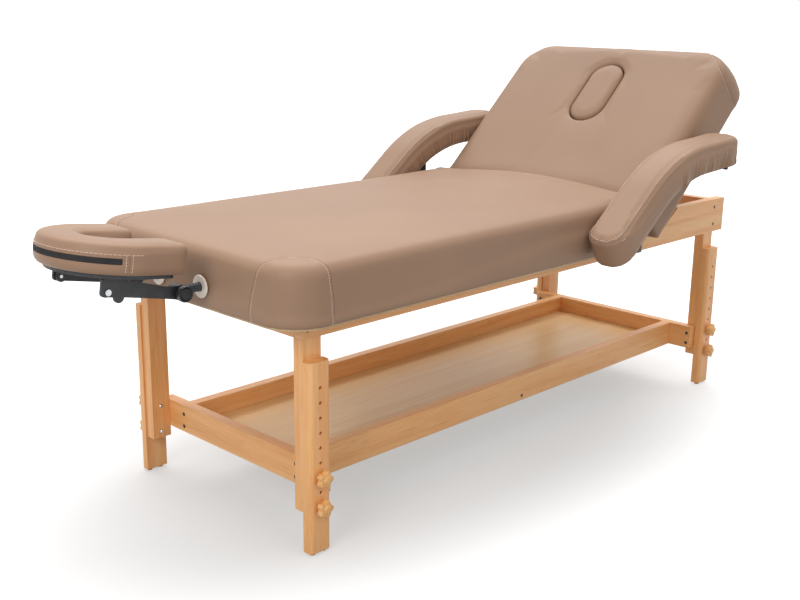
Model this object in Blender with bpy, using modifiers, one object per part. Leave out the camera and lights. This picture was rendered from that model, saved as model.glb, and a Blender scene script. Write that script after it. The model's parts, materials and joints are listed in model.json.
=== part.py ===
"""Massage table: wooden frame on sliding legs, fixed mattress, lifting backrest, armrests, face cradle.

Metres, +Z up. The table's length runs along X with the backrest at +X, and the near side is -Y.
"""
import math

import bmesh
import bpy
from mathutils import Matrix

# Fits
GAP = 0.0003              # between pieces that touch or turn in one another
STUD_CLEAR = 0.0005       # stud in an adjusting hole
MERGE = 0.00001           # welding distance

# Legs
LEG_SPACING = 1.635       # foot legs to head legs
POST_WIDTH = 0.059        # sliding outer post, along the table
POST_THICK = 0.026        # sliding outer post, across the table
POST_LENGTH = 0.438
POST_ROUND = 0.011        # radius of its two outer edges
HOLE_RADIUS = 0.004
HOLE_PITCH = 0.0342
HOLE_COUNT = 9
HOLE_TOP = 0.058          # first hole below the top of the post
STUD_HOLES = (6, 8)       # holes in use, counted from the top
INNER_WIDTH = 0.051       # fixed inner post
INNER_THICK = 0.030
INNER_LENGTH = 0.3927
INNER_FOOT = 0.0154       # inner post below the lower stud
STUD_DEPTH = 0.014        # stud in the inner post
GLIDE_RADIUS = 0.007
GLIDE_HEIGHT = 0.006
GLIDE_INSET = 0.014       # glide centre from the end of the post
GLIDE_SINK = 0.010        # glide stem in the post
KNOB_RADIUS = 0.0205
KNOB_LOBES = 5
KNOB_HOLLOW = 0.0055      # depth of the hollows between the lobes
KNOB_STAR = 0.014         # thickness of the lobes
KNOB_BOSS = 0.0095        # radius of the round boss
KNOB_SHANK = 0.006        # boss between the post and the lobes
KNOB_CAP = 0.004          # boss outside the lobes
KNOB_BORE = 0.013

# Bed frame
FRAME_WIDTH = 0.6134      # over the side rails
RAIL_THICK = 0.028
RAIL_LOW = 0.040          # height of the side rails under the mattress
RAIL_PROUD = 0.002        # rail face outside the inner post's face
RAIL_START = 0.003        # rail end inside the foot posts' outer face
RAIL_OVERHANG = 0.051     # rail end past the head posts
END_INSET = 0.043         # head end rail inside the rail ends
STEP_AFTER_AXIS = 0.179   # start of the slope up to the tall part of the rail
STEP_RUN = 0.092
SINK_RADIUS = 0.0048      # countersunk screw holes
SINK_DEPTH = 0.004
SINK_EDGE = 0.025         # screw holes from the edges of the tall rail

# Shelf
SHELF_RISE = 0.025        # shelf rails above the inner posts' feet
SHELF_HEIGHT = 0.071
SHELF_THICK = 0.028
CROSS_SETBACK = 0.0027    # cross rail ends inside the inner posts' faces
TRAY_WIDTH = 0.458        # over the tray rails
PANEL_THICK = 0.009
PANEL_RISE = 0.013        # panel above the underside of its rails
GROOVE_DEPTH = 0.006

# Mattress
TABLE_WIDTH = 0.760
MATTRESS_OVERHANG = 0.088
MATTRESS_DEPTH = 0.1244
BASE_THICK = 0.015
BASE_INSET = 0.006
FOOT_CORNER = 0.090       # plan radius of the foot corners
SEAM_CORNER = 0.012       # plan radius of the corners at the backrest
MATTRESS_EDGE = 0.032
SEAM_EDGE = 0.018         # edge radius beside the backrest
CROWN = 0.003
SEAM_CREST = 0.012        # swell of the mattress in the middle of its end at the backrest
CREST_RUN = 0.350         # how far from that end it starts
SIDE_PULL = 0.004         # how far the sides are drawn in
HEM_RADIUS = 0.004        # rounding of the lower edges

# Backrest
REST_ANGLE = 42.5
BACKREST_LENGTH = 0.620
BACKREST_INSET = 0.002    # its sides inside those of the mattress
BACKREST_LIP = 0.032      # pad in front of the hinge axis
AXIS_DEPTH = 0.034        # hinge axis below the pad's surface
PAD_DEPTH = 0.0664
PAD_EDGE = 0.030
HEAD_CORNER = 0.112
BOARD_THICK = 0.010
BOARD_INSET = 0.006
SKIRT_DEPTH = 0.069
SKIRT_WALL = 0.037        # border at the head end
SKIRT_INSET = 0.002
SKIRT_BEND = 0.010        # inner corner radius of the border
SKIRT_START = 0.004       # border behind the pad's lip
RAIL_CLEAR = 0.004        # between the border and the rails
LIP_CLEAR = 0.0006        # between the turning lip and the mattress
BREATH_LENGTH = 0.236
BREATH_WIDTH = 0.119
BREATH_CENTRE = 0.378     # from the hinge axis
BREATH_LEDGE = 0.018      # board left round the hole, under the plug
PLUG_CLEAR = 0.002
PLUG_DEPTH = 0.068
PLUG_EDGE = 0.010

# Backrest hinge
PIN_RADIUS = 0.005
PIN_END = 0.003           # pin past the hinge arm
LEAF_THICK = 0.005
LEAF_WIDTH = 0.032
LEAF_FOOT = 0.005         # leaf above the underside of the rail
EAR_THICK = 0.005         # hinge arm, a flat bar with an eye at its end
EAR_RADIUS = 0.015
EAR_HEEL = 0.040
EAR_TOE = 0.010
EAR_NECK = 0.045
ARM_BAR_DEPTH = 0.045
ARM_FLANGE = 0.030        # flange of the hinge arm, under the board
SLOT_CLEAR = 0.006        # slots in the pad and board, beside the hinge
SLOT_ROOF = 0.004
SLOT_LENGTH = 0.062

# Backrest prop and racks
PROP_PIVOT = 0.150        # along the backrest from the hinge axis
PROP_DROP = 0.066         # below the hinge axis
PROP_SHORT = 0.148        # folded prop before the head end of the backrest
PROP_FOOT = 0.090         # foot bar below the hinge axis
PROP_RATIO = -1.59        # turn of the prop for each turn of the backrest
PROP_ARM = 0.024
PROP_ARM_DEPTH = 0.028
PROP_INSET = 0.020        # prop arms inside the hinge arms
PROP_ROD = 0.006
PROP_BAR = 0.008
BAR_CLEAR = 0.003         # foot bar end from the rail
FOLD_CLEAR = 0.011        # end of the hinge arms before the folded foot bar
RACK_THICK = 0.022
RACK_CLEAR = 0.0006       # between the tooth tips and the foot bar
RACK_FOOT = 0.010         # rack above the underside of the rail
RACK_MARGIN = 0.014
NOTCH_STEP = 7.5          # degrees of backrest between notches
NOTCH_FIRST = -1          # notch steps from the rest angle
NOTCH_LAST = 4
NOTCH_WIDTH = 0.012
NOTCH_DEPTH = 0.007

# Armrests
ARM_WIDTH = 0.116
ARM_CLEAR = 0.003         # beside the mattress
ARM_PAD = 0.0707
ARM_BOARD = 0.012
ARM_BOARD_INSET = 0.008
ARM_TIP_BACK = 0.312      # tip in front of the hinge axis
ARM_TIP_DROP = 0.0752     # tip below the hinge axis
ARM_FRONT = 0.202         # straight front limb
ARM_SLOPE = 38.0
ARM_BEND = 0.425          # radius of the bend
ARM_LEVEL = 3.0
ARM_REAR = 0.190          # straight rear limb
ARM_CORNER = 0.050
BEND_STEPS = 8            # facets of the bend
ARM_EDGE = 0.018
ARM_CROWN = 0.002
BRACKET_THICK = 0.005
BRACKET_START = 0.215     # bracket in front of the hinge axis
BRACKET_LENGTH = 0.140
BRACKET_INSET = 0.017     # bracket outside the pad's inner side
BRACKET_DROP = 0.012      # plate below the pegs
BRACKET_SEAT = 0.0008     # between the flange and the faceted board
FLANGE_WIDTH = 0.050
FLANGE_THICK = 0.004
PEG_RADIUS = 0.0045
PEG_EDGE = 0.015          # pegs from the ends of the plate
PEG_SINK = 0.050          # peg in the base board

# Face cradle
ROD_RADIUS = 0.0105
ROD_SPREAD = 0.080        # rods from the centre line
ROD_RISE = 0.0347         # rods above the underside of the mattress
ROD_INSIDE = 0.208
RIB_COUNT = 8
RIB_PITCH = 0.0070
RIB_DEPTH = 0.0022
BORE_SPARE = 0.022        # bore past the rod ends
GROMMET_RADIUS = 0.026
GROMMET_WALL = 0.0025
GROMMET_FLANGE = 0.004
GROMMET_DEPTH = 0.040
HUB_OUT = 0.062           # cradle pivot in front of the mattress
HUB_RADIUS = 0.017
HUB_WIDTH = 0.020
CRADLE_RAISE = 10.2
HEAD_LEVEL = 2.5          # degrees, head turned down from the slope of the arms
CRADLE_ARM = 0.174        # pivot to tilt bolt
CRADLE_ARM_THICK = 0.006
CRADLE_ARM_TOP = 0.030    # arm above the tilt bolt
CRADLE_ARM_BELOW = 0.010
CRADLE_ARM_ROUND = 0.008  # lower front corner of the arm
CRADLE_ARM_TIP = 0.016    # arm past the tilt bolt
CRADLE_NECK = 0.013
CRADLE_NECK_AT = 0.040
TAB_AT = 0.147
TAB_RADIUS = 0.012
PIVOT_RADIUS = 0.004
TILT_RADIUS = 0.004
TILT_HEAD = 0.007
TILT_CAP = 0.003
CRADLE_KNOB = 0.018
CRADLE_KNOB_LENGTH = 0.020
CRADLE_KNOB_BORE = 0.012
KNOB_GROOVE = 0.0025      # ring groove in the face of the cradle knob
PLATE_THICK = 0.008
PLATE_INSET = 0.020
PLATE_CORNER = 0.012
PLATE_EAR = 0.006
PLATE_EAR_RADIUS = 0.012
HORSE_CENTRE = 0.057      # centre of the horseshoe behind the tilt bolt
HORSE_RADIUS = 0.150
LIMB_WIDTH = 0.095
LIMB_END = 0.154          # limb ends behind the tilt bolt
LIMB_CORNER = 0.024
CUSHION_DEPTH = 0.067
CUSHION_EDGE = 0.026

# Legs and heights
stud_radius = HOLE_RADIUS - STUD_CLEAR
post_bottom = GLIDE_HEIGHT
post_top = post_bottom + POST_LENGTH
stud_heights = [post_top - HOLE_TOP - index * HOLE_PITCH for index in STUD_HOLES]
inner_bottom = min(stud_heights) - INNER_FOOT
rail_bottom = inner_bottom + INNER_LENGTH + GAP
rail_low_top = rail_bottom + RAIL_LOW
shelf_bottom = inner_bottom + SHELF_RISE
shelf_top = shelf_bottom + SHELF_HEIGHT
base_bottom = rail_low_top + GAP
mattress_bottom = base_bottom + BASE_THICK + GAP
table_top = mattress_bottom + MATTRESS_DEPTH
axis_z = table_top - AXIS_DEPTH

# Backrest layers, measured from the hinge axis along its normal
pad_bottom = AXIS_DEPTH - PAD_DEPTH
board_top = pad_bottom - GAP
board_bottom = board_top - BOARD_THICK
bar_top = board_bottom - GAP
bar_bottom = bar_top - ARM_BAR_DEPTH
rail_tall_top = axis_z + board_bottom - GAP

# Places along the table
rail_end = LEG_SPACING + POST_WIDTH + RAIL_OVERHANG
backrest_end = BACKREST_LENGTH - BACKREST_LIP
prop_length = backrest_end - PROP_SHORT - PROP_PIVOT
skirt_end = backrest_end - SKIRT_INSET
axis_x = rail_end + RAIL_CLEAR - (skirt_end - SKIRT_WALL)
lip_reach = math.hypot(PAD_EDGE - BACKREST_LIP, AXIS_DEPTH - PAD_EDGE) + PAD_EDGE
mattress_start = -MATTRESS_OVERHANG
mattress_end = axis_x - lip_reach - LIP_CLEAR
foot_end_rail = (RAIL_START, RAIL_START + RAIL_THICK)
head_end_rail = (rail_end - END_INSET - RAIL_THICK, rail_end - END_INSET)
cross_foot = ((POST_WIDTH + INNER_WIDTH) / 2 + GAP, (POST_WIDTH + INNER_WIDTH) / 2 + GAP + SHELF_THICK)
cross_head = (LEG_SPACING + POST_WIDTH - cross_foot[1], LEG_SPACING + POST_WIDTH - cross_foot[0])

# Places across the table
backrest_width = TABLE_WIDTH - 2 * BACKREST_INSET
rail_outer = FRAME_WIDTH / 2
rail_inner = rail_outer - RAIL_THICK
inner_outer = rail_outer - RAIL_PROUD
inner_inner = inner_outer - INNER_THICK
post_inner = inner_outer + GAP
post_outer = post_inner + POST_THICK
tray_outer = TRAY_WIDTH / 2
tray_inner = tray_outer - SHELF_THICK
leaf_outer = rail_inner - GAP
leaf_inner = leaf_outer - LEAF_THICK
ear_outer = leaf_inner - GAP
ear_inner = ear_outer - EAR_THICK
prop_outer = ear_inner - PROP_INSET
prop_inner = prop_outer - PROP_ARM
arm_inner = TABLE_WIDTH / 2 + ARM_CLEAR

# Cradle
cradle_x = mattress_start - HUB_OUT
cradle_z = mattress_bottom + ROD_RISE
grommet_sleeve = ROD_RADIUS + GAP + GROMMET_WALL
hub_outer = ROD_SPREAD + HUB_WIDTH / 2
cradle_arm_inner = hub_outer + GAP
cradle_arm_outer = cradle_arm_inner + CRADLE_ARM_THICK
plate_ear_outer = cradle_arm_inner - GAP
plate_ear_inner = plate_ear_outer - PLATE_EAR
plate_bottom = CRADLE_ARM_TOP + GAP
cushion_bottom = plate_bottom + PLATE_THICK + GAP
cradle_tilt = math.radians(CRADLE_RAISE)
head_tilt = math.radians(CRADLE_RAISE - HEAD_LEVEL)
head_reach = (HORSE_RADIUS - HORSE_CENTRE) * math.cos(head_tilt) - cushion_bottom * math.sin(head_tilt)
cradle_tip = cradle_x - CRADLE_ARM * math.cos(cradle_tilt) - head_reach
origin_x = (rail_end + cradle_tip) / 2

SIDES = (("near", -1), ("far", 1))
ENDS = (("foot", POST_WIDTH / 2), ("head", LEG_SPACING + POST_WIDTH / 2))
UPRIGHT = Matrix.Rotation(math.radians(90), 4, "X")     # a flat outline stood up in the XZ plane
ALONG_Y = Matrix.Rotation(math.radians(-90), 4, "X")    # an axis along Z laid along Y
ALONG_X = Matrix.Rotation(math.radians(90), 4, "Y")     # an axis along Z laid along X


# Scene and materials

def collection(name):
    made = bpy.data.collections.new(name)
    bpy.context.scene.collection.children.link(made)
    return made


def principled(name, colour, roughness, metallic=0.0):
    made = bpy.data.materials.new(name)
    made.use_nodes = True
    shader = made.node_tree.nodes["Principled BSDF"]
    shader.inputs["Base Color"].default_value = (*colour, 1.0)
    shader.inputs["Roughness"].default_value = roughness
    shader.inputs["Metallic"].default_value = metallic
    return made


for old in list(bpy.data.objects):
    bpy.data.objects.remove(old)
parts = collection("massage_table")
cutters = collection("cutters")
beech = principled("beech", (0.56, 0.30, 0.14), 0.45)
veneer = principled("veneer", (0.49, 0.28, 0.11), 0.4)
pale_wood = principled("pale_wood", (0.72, 0.50, 0.24), 0.45)
vinyl = principled("vinyl", (0.44, 0.29, 0.22), 0.5)
plywood = principled("plywood", (0.50, 0.36, 0.22), 0.6)
black_steel = principled("black_steel", (0.03, 0.03, 0.03), 0.45, 0.6)
bright_steel = principled("bright_steel", (0.62, 0.62, 0.62), 0.3, 1.0)
black_plastic = principled("black_plastic", (0.02, 0.02, 0.022), 0.5)
white_plastic = principled("white_plastic", (0.80, 0.78, 0.74), 0.4)


# Shapes

def mesh_from(bm):
    bmesh.ops.recalc_face_normals(bm, faces=bm.faces)
    if bm.calc_volume(signed=True) < 0:
        bmesh.ops.reverse_faces(bm, faces=bm.faces)
    mesh = bpy.data.meshes.new("shape")
    bm.to_mesh(mesh)
    bm.free()
    return mesh


def evaluated(obj):
    """A plain welded mesh of an object as its modifiers or its curve make it. The object is removed."""
    bpy.context.scene.collection.objects.link(obj)
    depsgraph = bpy.context.evaluated_depsgraph_get()
    mesh = bpy.data.meshes.new_from_object(obj.evaluated_get(depsgraph))
    bpy.data.objects.remove(obj)
    bm = bmesh.new()
    bm.from_mesh(mesh)
    bmesh.ops.remove_doubles(bm, verts=bm.verts, dist=MERGE)
    return mesh_from(bm)


def box_mesh(size_x, size_y, size_z):
    bm = bmesh.new()
    bmesh.ops.create_cube(bm, size=1.0)
    bmesh.ops.scale(bm, vec=(size_x, size_y, size_z), verts=bm.verts)
    return mesh_from(bm)


def rod_mesh(radius, length, axis=ALONG_Y, sides=16):
    bm = bmesh.new()
    bmesh.ops.create_cone(bm, cap_ends=True, segments=sides, radius1=radius, radius2=radius, depth=length)
    bmesh.ops.transform(bm, matrix=axis, verts=bm.verts)
    return mesh_from(bm)


def turned_mesh(profile, axis=ALONG_Y, sides=16, closed=False):
    """A profile of (radius, height) points, listed from top to bottom, turned round the given axis."""
    edges = [(index, index + 1) for index in range(len(profile) - 1)]
    if closed:
        edges.append((len(profile) - 1, 0))
    outline = bpy.data.meshes.new("profile")
    outline.from_pydata([(radius, 0, height) for radius, height in profile], edges, [])
    obj = bpy.data.objects.new("profile", outline)
    screw = obj.modifiers.new("Turn", "SCREW")
    screw.steps = sides
    screw.render_steps = sides
    screw.use_merge_vertices = True
    screw.merge_threshold = MERGE
    mesh = evaluated(obj)
    mesh.transform(axis)
    return mesh


def plate_mesh(outline, thick, holes=(), stand=None):
    """A flat outline with holes, given a thickness that is centred on it."""
    curve = bpy.data.curves.new("outline", "CURVE")
    curve.dimensions = "2D"
    curve.fill_mode = "BOTH"
    curve.extrude = thick / 2
    for points in (outline, *holes):
        spline = curve.splines.new("POLY")
        spline.points.add(len(points) - 1)
        for point, (across, up) in zip(spline.points, points):
            point.co = (across, up, 0, 1)
        spline.use_cyclic_u = True
    mesh = evaluated(bpy.data.objects.new("outline", curve))
    if stand:
        mesh.transform(stand)
    return mesh


def arc(centre, radius, start, end, steps):
    """Points along an arc between two angles in degrees."""
    angles = [math.radians(start + (end - start) * step / steps) for step in range(steps + 1)]
    return [(centre[0] + radius * math.cos(angle), centre[1] + radius * math.sin(angle)) for angle in angles]


def circle(centre, radius, sides=16):
    return arc(centre, radius, 0, 360, sides)[:-1]


def rounded_slot(centre, length, width, steps=8):
    """A slot outline with round ends, its length along the first axis."""
    radius = width / 2
    reach = length / 2 - radius
    return (arc((centre + reach, 0), radius, -90, 90, steps)
            + arc((centre - reach, 0), radius, 90, 270, steps))


def moved(mesh, *places):
    """One mesh of several copies of a mesh, each moved by a vector."""
    bm = bmesh.new()
    for place in places:
        copy = mesh.copy()
        copy.transform(Matrix.Translation(place))
        bm.from_mesh(copy)
        bpy.data.meshes.remove(copy)
    made = bpy.data.meshes.new("group")
    bm.to_mesh(made)
    bm.free()
    return made


def mirrored(mesh):
    """The mesh reflected from the far side to the near side."""
    copy = mesh.copy()
    copy.transform(Matrix.Scale(-1, 4, (0, 1, 0)))
    copy.flip_normals()
    return copy


# Objects

def empty(name, at, parent=None, turn=0.0):
    made = bpy.data.objects.new(name, None)
    parts.objects.link(made)
    made.parent = parent
    made.location = at
    made.rotation_euler = (0, turn, 0)
    return made


def piece(name, mesh, finish, parent, at=(0, 0, 0)):
    made = bpy.data.objects.new(name, mesh.copy())
    made.data.name = name
    made.data.materials.clear()
    made.data.materials.append(finish)
    made.data.shade_smooth()
    made.data.set_sharp_from_angle(angle=math.radians(35))
    parts.objects.link(made)
    made.parent = parent
    made.location = at
    return made


def cutter(name, mesh, parent, at=(0, 0, 0)):
    made = bpy.data.objects.new(name, mesh)
    cutters.objects.link(made)
    made.parent = parent
    made.location = at
    made.hide_render = True
    made.display_type = "WIRE"
    return made


def carve(target, tool, operation="DIFFERENCE"):
    change = target.modifiers.new(tool.name, "BOOLEAN")
    change.operation = operation
    change.solver = "EXACT"
    change.object = tool


def block(name, finish, parent, across_x, across_y, across_z):
    """A box between pairs of limits along X, Y and Z."""
    sizes = [high - low for low, high in (across_x, across_y, across_z)]
    centre = [(high + low) / 2 for low, high in (across_x, across_y, across_z)]
    return piece(name, box_mesh(*sizes), finish, parent, centre)


# Upholstery

def edge_drop(inside, edge):
    """How far a rounded edge has dropped at a distance inside the outline."""
    if inside >= edge:
        return 0.0
    return edge - math.sqrt(edge ** 2 - (edge - inside) ** 2)


def grid_lines(length, edges, corners, between):
    """Grid lines across a pad, close together over its rounded edges and corners.

    The lines between them are a number of even steps, or a list of places.
    """
    ends = []
    for edge, corner in zip(edges, corners):
        lines = [edge * (1 - math.cos(math.radians(angle))) for angle in ((0, 30, 60, 90) if edge else (0,))]
        if corner > edge:
            lines += [edge + (corner - edge) * share for share in (0.5, 1.0)]
        ends.append(lines)
    start, end = ends[0][-1], length - ends[1][-1]
    if isinstance(between, int):
        between = [start + (end - start) * step / between for step in range(1, between)]
    middle = [line for line in between if start + MERGE < line < end - MERGE]
    lines = ends[0] + middle + [length - line for line in reversed(ends[1])]
    return [line for index, line in enumerate(lines) if index == 0 or line - lines[index - 1] > MERGE]


class Pad:
    """An upholstered pad from X = 0 to its length, centred on Y, with its base at Z = 0."""

    def __init__(self, length, width, depth, edges, side_edge, corners, crown, pull, hem, steps, crest=0.0):
        self.length, self.width, self.depth = length, width, depth
        self.edges, self.side_edge, self.corners = edges, side_edge, corners
        self.crown, self.pull, self.hem, self.crest = crown, pull, hem, crest
        self.lines_x = grid_lines(length, edges, corners, steps[0])
        self.lines_y = grid_lines(width, (side_edge, side_edge), (max(corners), max(corners)), steps[1])

    def core(self, x, y):
        """The nearest point of the rectangle that the rounded corners are struck from."""
        corner = self.corners[0] if x < self.length / 2 else self.corners[1]
        side = self.width / 2 - corner
        return (min(max(x, self.corners[0]), self.length - self.corners[1]), min(max(y, -side), side))

    def plan(self, x, y):
        """A grid point moved so that the square corners of the grid become round."""
        core_x, core_y = self.core(x, y)
        out_x, out_y = x - core_x, y - core_y
        far, near = max(abs(out_x), abs(out_y)), min(abs(out_x), abs(out_y))
        if near < MERGE:
            return x, y
        angle = math.pi / 4 * near / far
        if abs(out_y) > abs(out_x):
            angle = math.pi / 2 - angle
        return (core_x + math.copysign(far * math.cos(angle), out_x),
                core_y + math.copysign(far * math.sin(angle), out_y))

    def outward(self, x, y):
        core_x, core_y = self.core(x, y)
        reach = math.hypot(x - core_x, y - core_y)
        return (x - core_x) / reach, (y - core_y) / reach

    def top(self, x, y):
        """Height of the upholstery over a grid point."""
        inside_side = self.width / 2 - abs(y)
        drop = max(edge_drop(x, self.edges[0]), edge_drop(self.length - x, self.edges[1]),
                   edge_drop(inside_side, self.side_edge))
        swell = self.crown * (1 - (2 * x / self.length - 1) ** 2) * (1 - (2 * y / self.width) ** 2)
        rise = min(max(1 - (self.length - x) / CREST_RUN, 0.0), 1.0)
        across = (1 - (2 * y / self.width) ** 2) ** 2
        return self.depth - self.crown - drop + swell + self.crest * across * rise * rise * (3 - 2 * rise)

    def grid(self, bm, height, inset=0.0):
        """A sheet of the pad's grid, at a height given by a function of the grid point."""
        count_x, count_y = len(self.lines_x) - 1, len(self.lines_y) - 1
        verts = bmesh.ops.create_grid(bm, x_segments=count_x, y_segments=count_y, size=0.5)["verts"]
        for vert in verts:
            x = self.lines_x[round((vert.co.x + 0.5) * count_x)]
            y = self.lines_y[round((vert.co.y + 0.5) * count_y)] - self.width / 2
            at_rim = min(x, self.length - x, self.width / 2 - abs(y)) < MERGE
            z = height(x, y)
            x, y = self.plan(x, y)
            if at_rim and inset:
                out_x, out_y = self.outward(x, y)
                x, y = x - out_x * inset, y - out_y * inset
            vert.co = (x, y, z)

    def mesh(self, bend=None):
        """The closed pad. A bend maps its points, and then the base is a sheet too."""
        bm = bmesh.new()
        self.grid(bm, self.top)
        rim = [edge for edge in bm.edges if edge.is_boundary]
        shoulder = self.depth - self.crown - self.side_edge
        levels = [(0.0, self.hem / 2)]
        if self.hem:
            levels = [((shoulder + self.hem) / 2, self.pull), (self.hem, 0.0)] + levels
        before = 0.0
        for height, inset in levels:
            made = bmesh.ops.extrude_edge_only(bm, edges=rim)["geom"]
            rim = [item for item in made if isinstance(item, bmesh.types.BMEdge)]
            for vert in [item for item in made if isinstance(item, bmesh.types.BMVert)]:
                out_x, out_y = self.outward(vert.co.x, vert.co.y)
                vert.co.x += out_x * (before - inset)
                vert.co.y += out_y * (before - inset)
                vert.co.z = height
            before = inset
        if bend:
            self.grid(bm, lambda x, y: 0.0, levels[-1][1])
            bmesh.ops.remove_doubles(bm, verts=bm.verts, dist=MERGE)
            for vert in bm.verts:
                vert.co = bend(*vert.co)
        else:
            bmesh.ops.contextual_create(bm, geom=rim)
        return mesh_from(bm)


# Legs

def knob_mesh():
    """A star knob with its base at the origin, pointing along +Y."""
    points = []
    count = KNOB_LOBES * 6
    for index in range(count):
        angle = 2 * math.pi * index / count
        radius = KNOB_RADIUS - KNOB_HOLLOW * (1 - math.cos(KNOB_LOBES * angle)) / 2
        points.append((radius * math.cos(angle), radius * math.sin(angle)))
    star_mesh = plate_mesh(points, KNOB_STAR, stand=UPRIGHT)
    star_mesh.transform(Matrix.Translation((0, KNOB_SHANK + KNOB_STAR / 2, 0)))
    star = bpy.data.objects.new("star", star_mesh)
    rounding = star.modifiers.new("Rounding", "BEVEL")
    rounding.width = KNOB_STAR / 8
    rounding.segments = 1
    rounding.angle_limit = math.radians(60)
    length = KNOB_SHANK + KNOB_STAR + KNOB_CAP
    shoulder = KNOB_CAP / 2
    boss = turned_mesh([(0, length), (KNOB_BOSS - shoulder, length), (KNOB_BOSS, length - shoulder),
                        (KNOB_BOSS, 0), (0, 0)], sides=12)
    carve(star, cutter("knob_boss", boss, None), "UNION")
    bore = rod_mesh(stud_radius + GAP, 2 * (KNOB_BORE + GAP), sides=12)
    carve(star, cutter("knob_bore", bore, None))
    return evaluated(star)


def outer_post_mesh():
    """A sliding post for the far side, centred, with its outer edges rounded."""
    bm = bmesh.new()
    bmesh.ops.create_cube(bm, size=1.0)
    bmesh.ops.scale(bm, vec=(POST_WIDTH, POST_THICK, POST_LENGTH), verts=bm.verts)
    outer = [edge for edge in bm.edges
             if all(vert.co.y > 0 for vert in edge.verts) and edge.verts[0].co.x == edge.verts[1].co.x]
    bmesh.ops.bevel(bm, geom=outer, offset=POST_ROUND, segments=4, profile=0.5, affect="EDGES")
    return mesh_from(bm)


def build_legs(root):
    post = outer_post_mesh()
    knob = knob_mesh()
    hole_drops = [(0, 0, POST_LENGTH / 2 - HOLE_TOP - index * HOLE_PITCH) for index in range(HOLE_COUNT)]
    hole_row = moved(rod_mesh(HOLE_RADIUS, 2 * POST_THICK, sides=12), *hole_drops)
    glide = rod_mesh(GLIDE_RADIUS, GLIDE_HEIGHT + GLIDE_SINK, Matrix.Identity(4))
    glide_reach = POST_WIDTH / 2 - GLIDE_INSET
    glides = moved(glide, (-glide_reach, 0, 0), (glide_reach, 0, 0))
    stud_reach = STUD_DEPTH + POST_THICK + 2 * GAP + KNOB_BORE
    stud = rod_mesh(stud_radius, stud_reach, sides=12)
    for end, centre_x in ENDS:
        for side, sign in SIDES:
            leg = f"{end}_{side}"
            middle = (centre_x, sign * (post_inner + POST_THICK / 2), (post_bottom + post_top) / 2)
            outer = piece(f"outer_post_{leg}", post if sign > 0 else mirrored(post), beech, root, middle)
            carve(outer, cutter(f"adjusting_holes_{leg}", hole_row, root, middle))
            carve(outer, cutter(f"glides_{leg}", glides, root,
                                (centre_x, middle[1], (GLIDE_HEIGHT + GLIDE_SINK) / 2)), "UNION")
            inner = block(f"inner_post_{leg}", beech, root,
                          (centre_x - INNER_WIDTH / 2, centre_x + INNER_WIDTH / 2),
                          sorted((sign * inner_inner, sign * inner_outer)),
                          (inner_bottom, inner_bottom + INNER_LENGTH))
            for level, height in zip(("upper", "lower"), stud_heights):
                stud_middle = sign * (inner_outer - STUD_DEPTH + stud_reach / 2)
                stud_at = (centre_x, stud_middle, height)
                carve(inner, cutter(f"stud_{leg}_{level}", stud, root, stud_at), "UNION")
                piece(f"knob_{leg}_{level}", knob if sign > 0 else mirrored(knob), pale_wood, root,
                      (centre_x, sign * (post_outer + GAP), height))


# Bed frame

def screw_places():
    """Where the side rails are screwed to the end rails, as (x, z)."""
    head_x = sum(head_end_rail) / 2
    foot_x = sum(foot_end_rail) / 2
    return [(head_x, rail_bottom + SINK_EDGE), (head_x, rail_tall_top - SINK_EDGE),
            (foot_x, (rail_bottom + rail_low_top) / 2)]


def peg_places():
    """Where the armrest pegs enter the base board, as (x, z)."""
    start = axis_x - BRACKET_START
    height = base_bottom + BASE_THICK / 2
    return [(start + PEG_EDGE, height), (start + BRACKET_LENGTH - PEG_EDGE, height)]


def build_frame(root):
    step = axis_x + STEP_AFTER_AXIS
    outline = [(RAIL_START, rail_bottom), (rail_end, rail_bottom), (rail_end, rail_tall_top),
               (step + STEP_RUN, rail_tall_top), (step, rail_low_top), (RAIL_START, rail_low_top)]
    rail = plate_mesh(outline, RAIL_THICK, stand=UPRIGHT)
    sink = turned_mesh([(0, SINK_DEPTH), (SINK_RADIUS + SINK_DEPTH, SINK_DEPTH), (0, -SINK_RADIUS)], sides=12)
    sinks = moved(sink, *[(x, rail_outer, z) for x, z in screw_places()])
    for side, sign in SIDES:
        made = piece(f"side_rail_{side}", rail, beech, root, (0, sign * (rail_inner + RAIL_THICK / 2), 0))
        carve(made, cutter(f"screw_sinks_{side}", sinks if sign > 0 else mirrored(sinks), root))
    reach = rail_inner - GAP
    for end, across, top in (("foot", foot_end_rail, rail_low_top), ("head", head_end_rail, rail_tall_top)):
        block(f"end_rail_{end}", beech, root, across, (-reach, reach), (rail_bottom, top))


# Shelf

def build_shelf(root):
    panel_low = shelf_bottom + PANEL_RISE
    panel = ((cross_foot[1] - GROOVE_DEPTH, cross_head[0] + GROOVE_DEPTH),
             (-tray_inner - GROOVE_DEPTH, tray_inner + GROOVE_DEPTH), (panel_low, panel_low + PANEL_THICK))
    block("tray_panel", veneer, root, *panel)
    sizes = [high - low + 2 * GAP for low, high in panel]
    centre = [(high + low) / 2 for low, high in panel]
    groove = cutter("panel_groove", box_mesh(*sizes), root, centre)
    reach = inner_outer - CROSS_SETBACK
    for end, across in (("foot", cross_foot), ("head", cross_head)):
        made = block(f"shelf_cross_rail_{end}", beech, root, across, (-reach, reach),
                     (shelf_bottom, shelf_top))
        carve(made, groove)
    for side, sign in SIDES:
        made = block(f"tray_rail_{side}", beech, root, (cross_foot[1] + GAP, cross_head[0] - GAP),
                     sorted((sign * tray_inner, sign * tray_outer)), (shelf_bottom, shelf_top))
        carve(made, groove)


# Mattress

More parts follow.
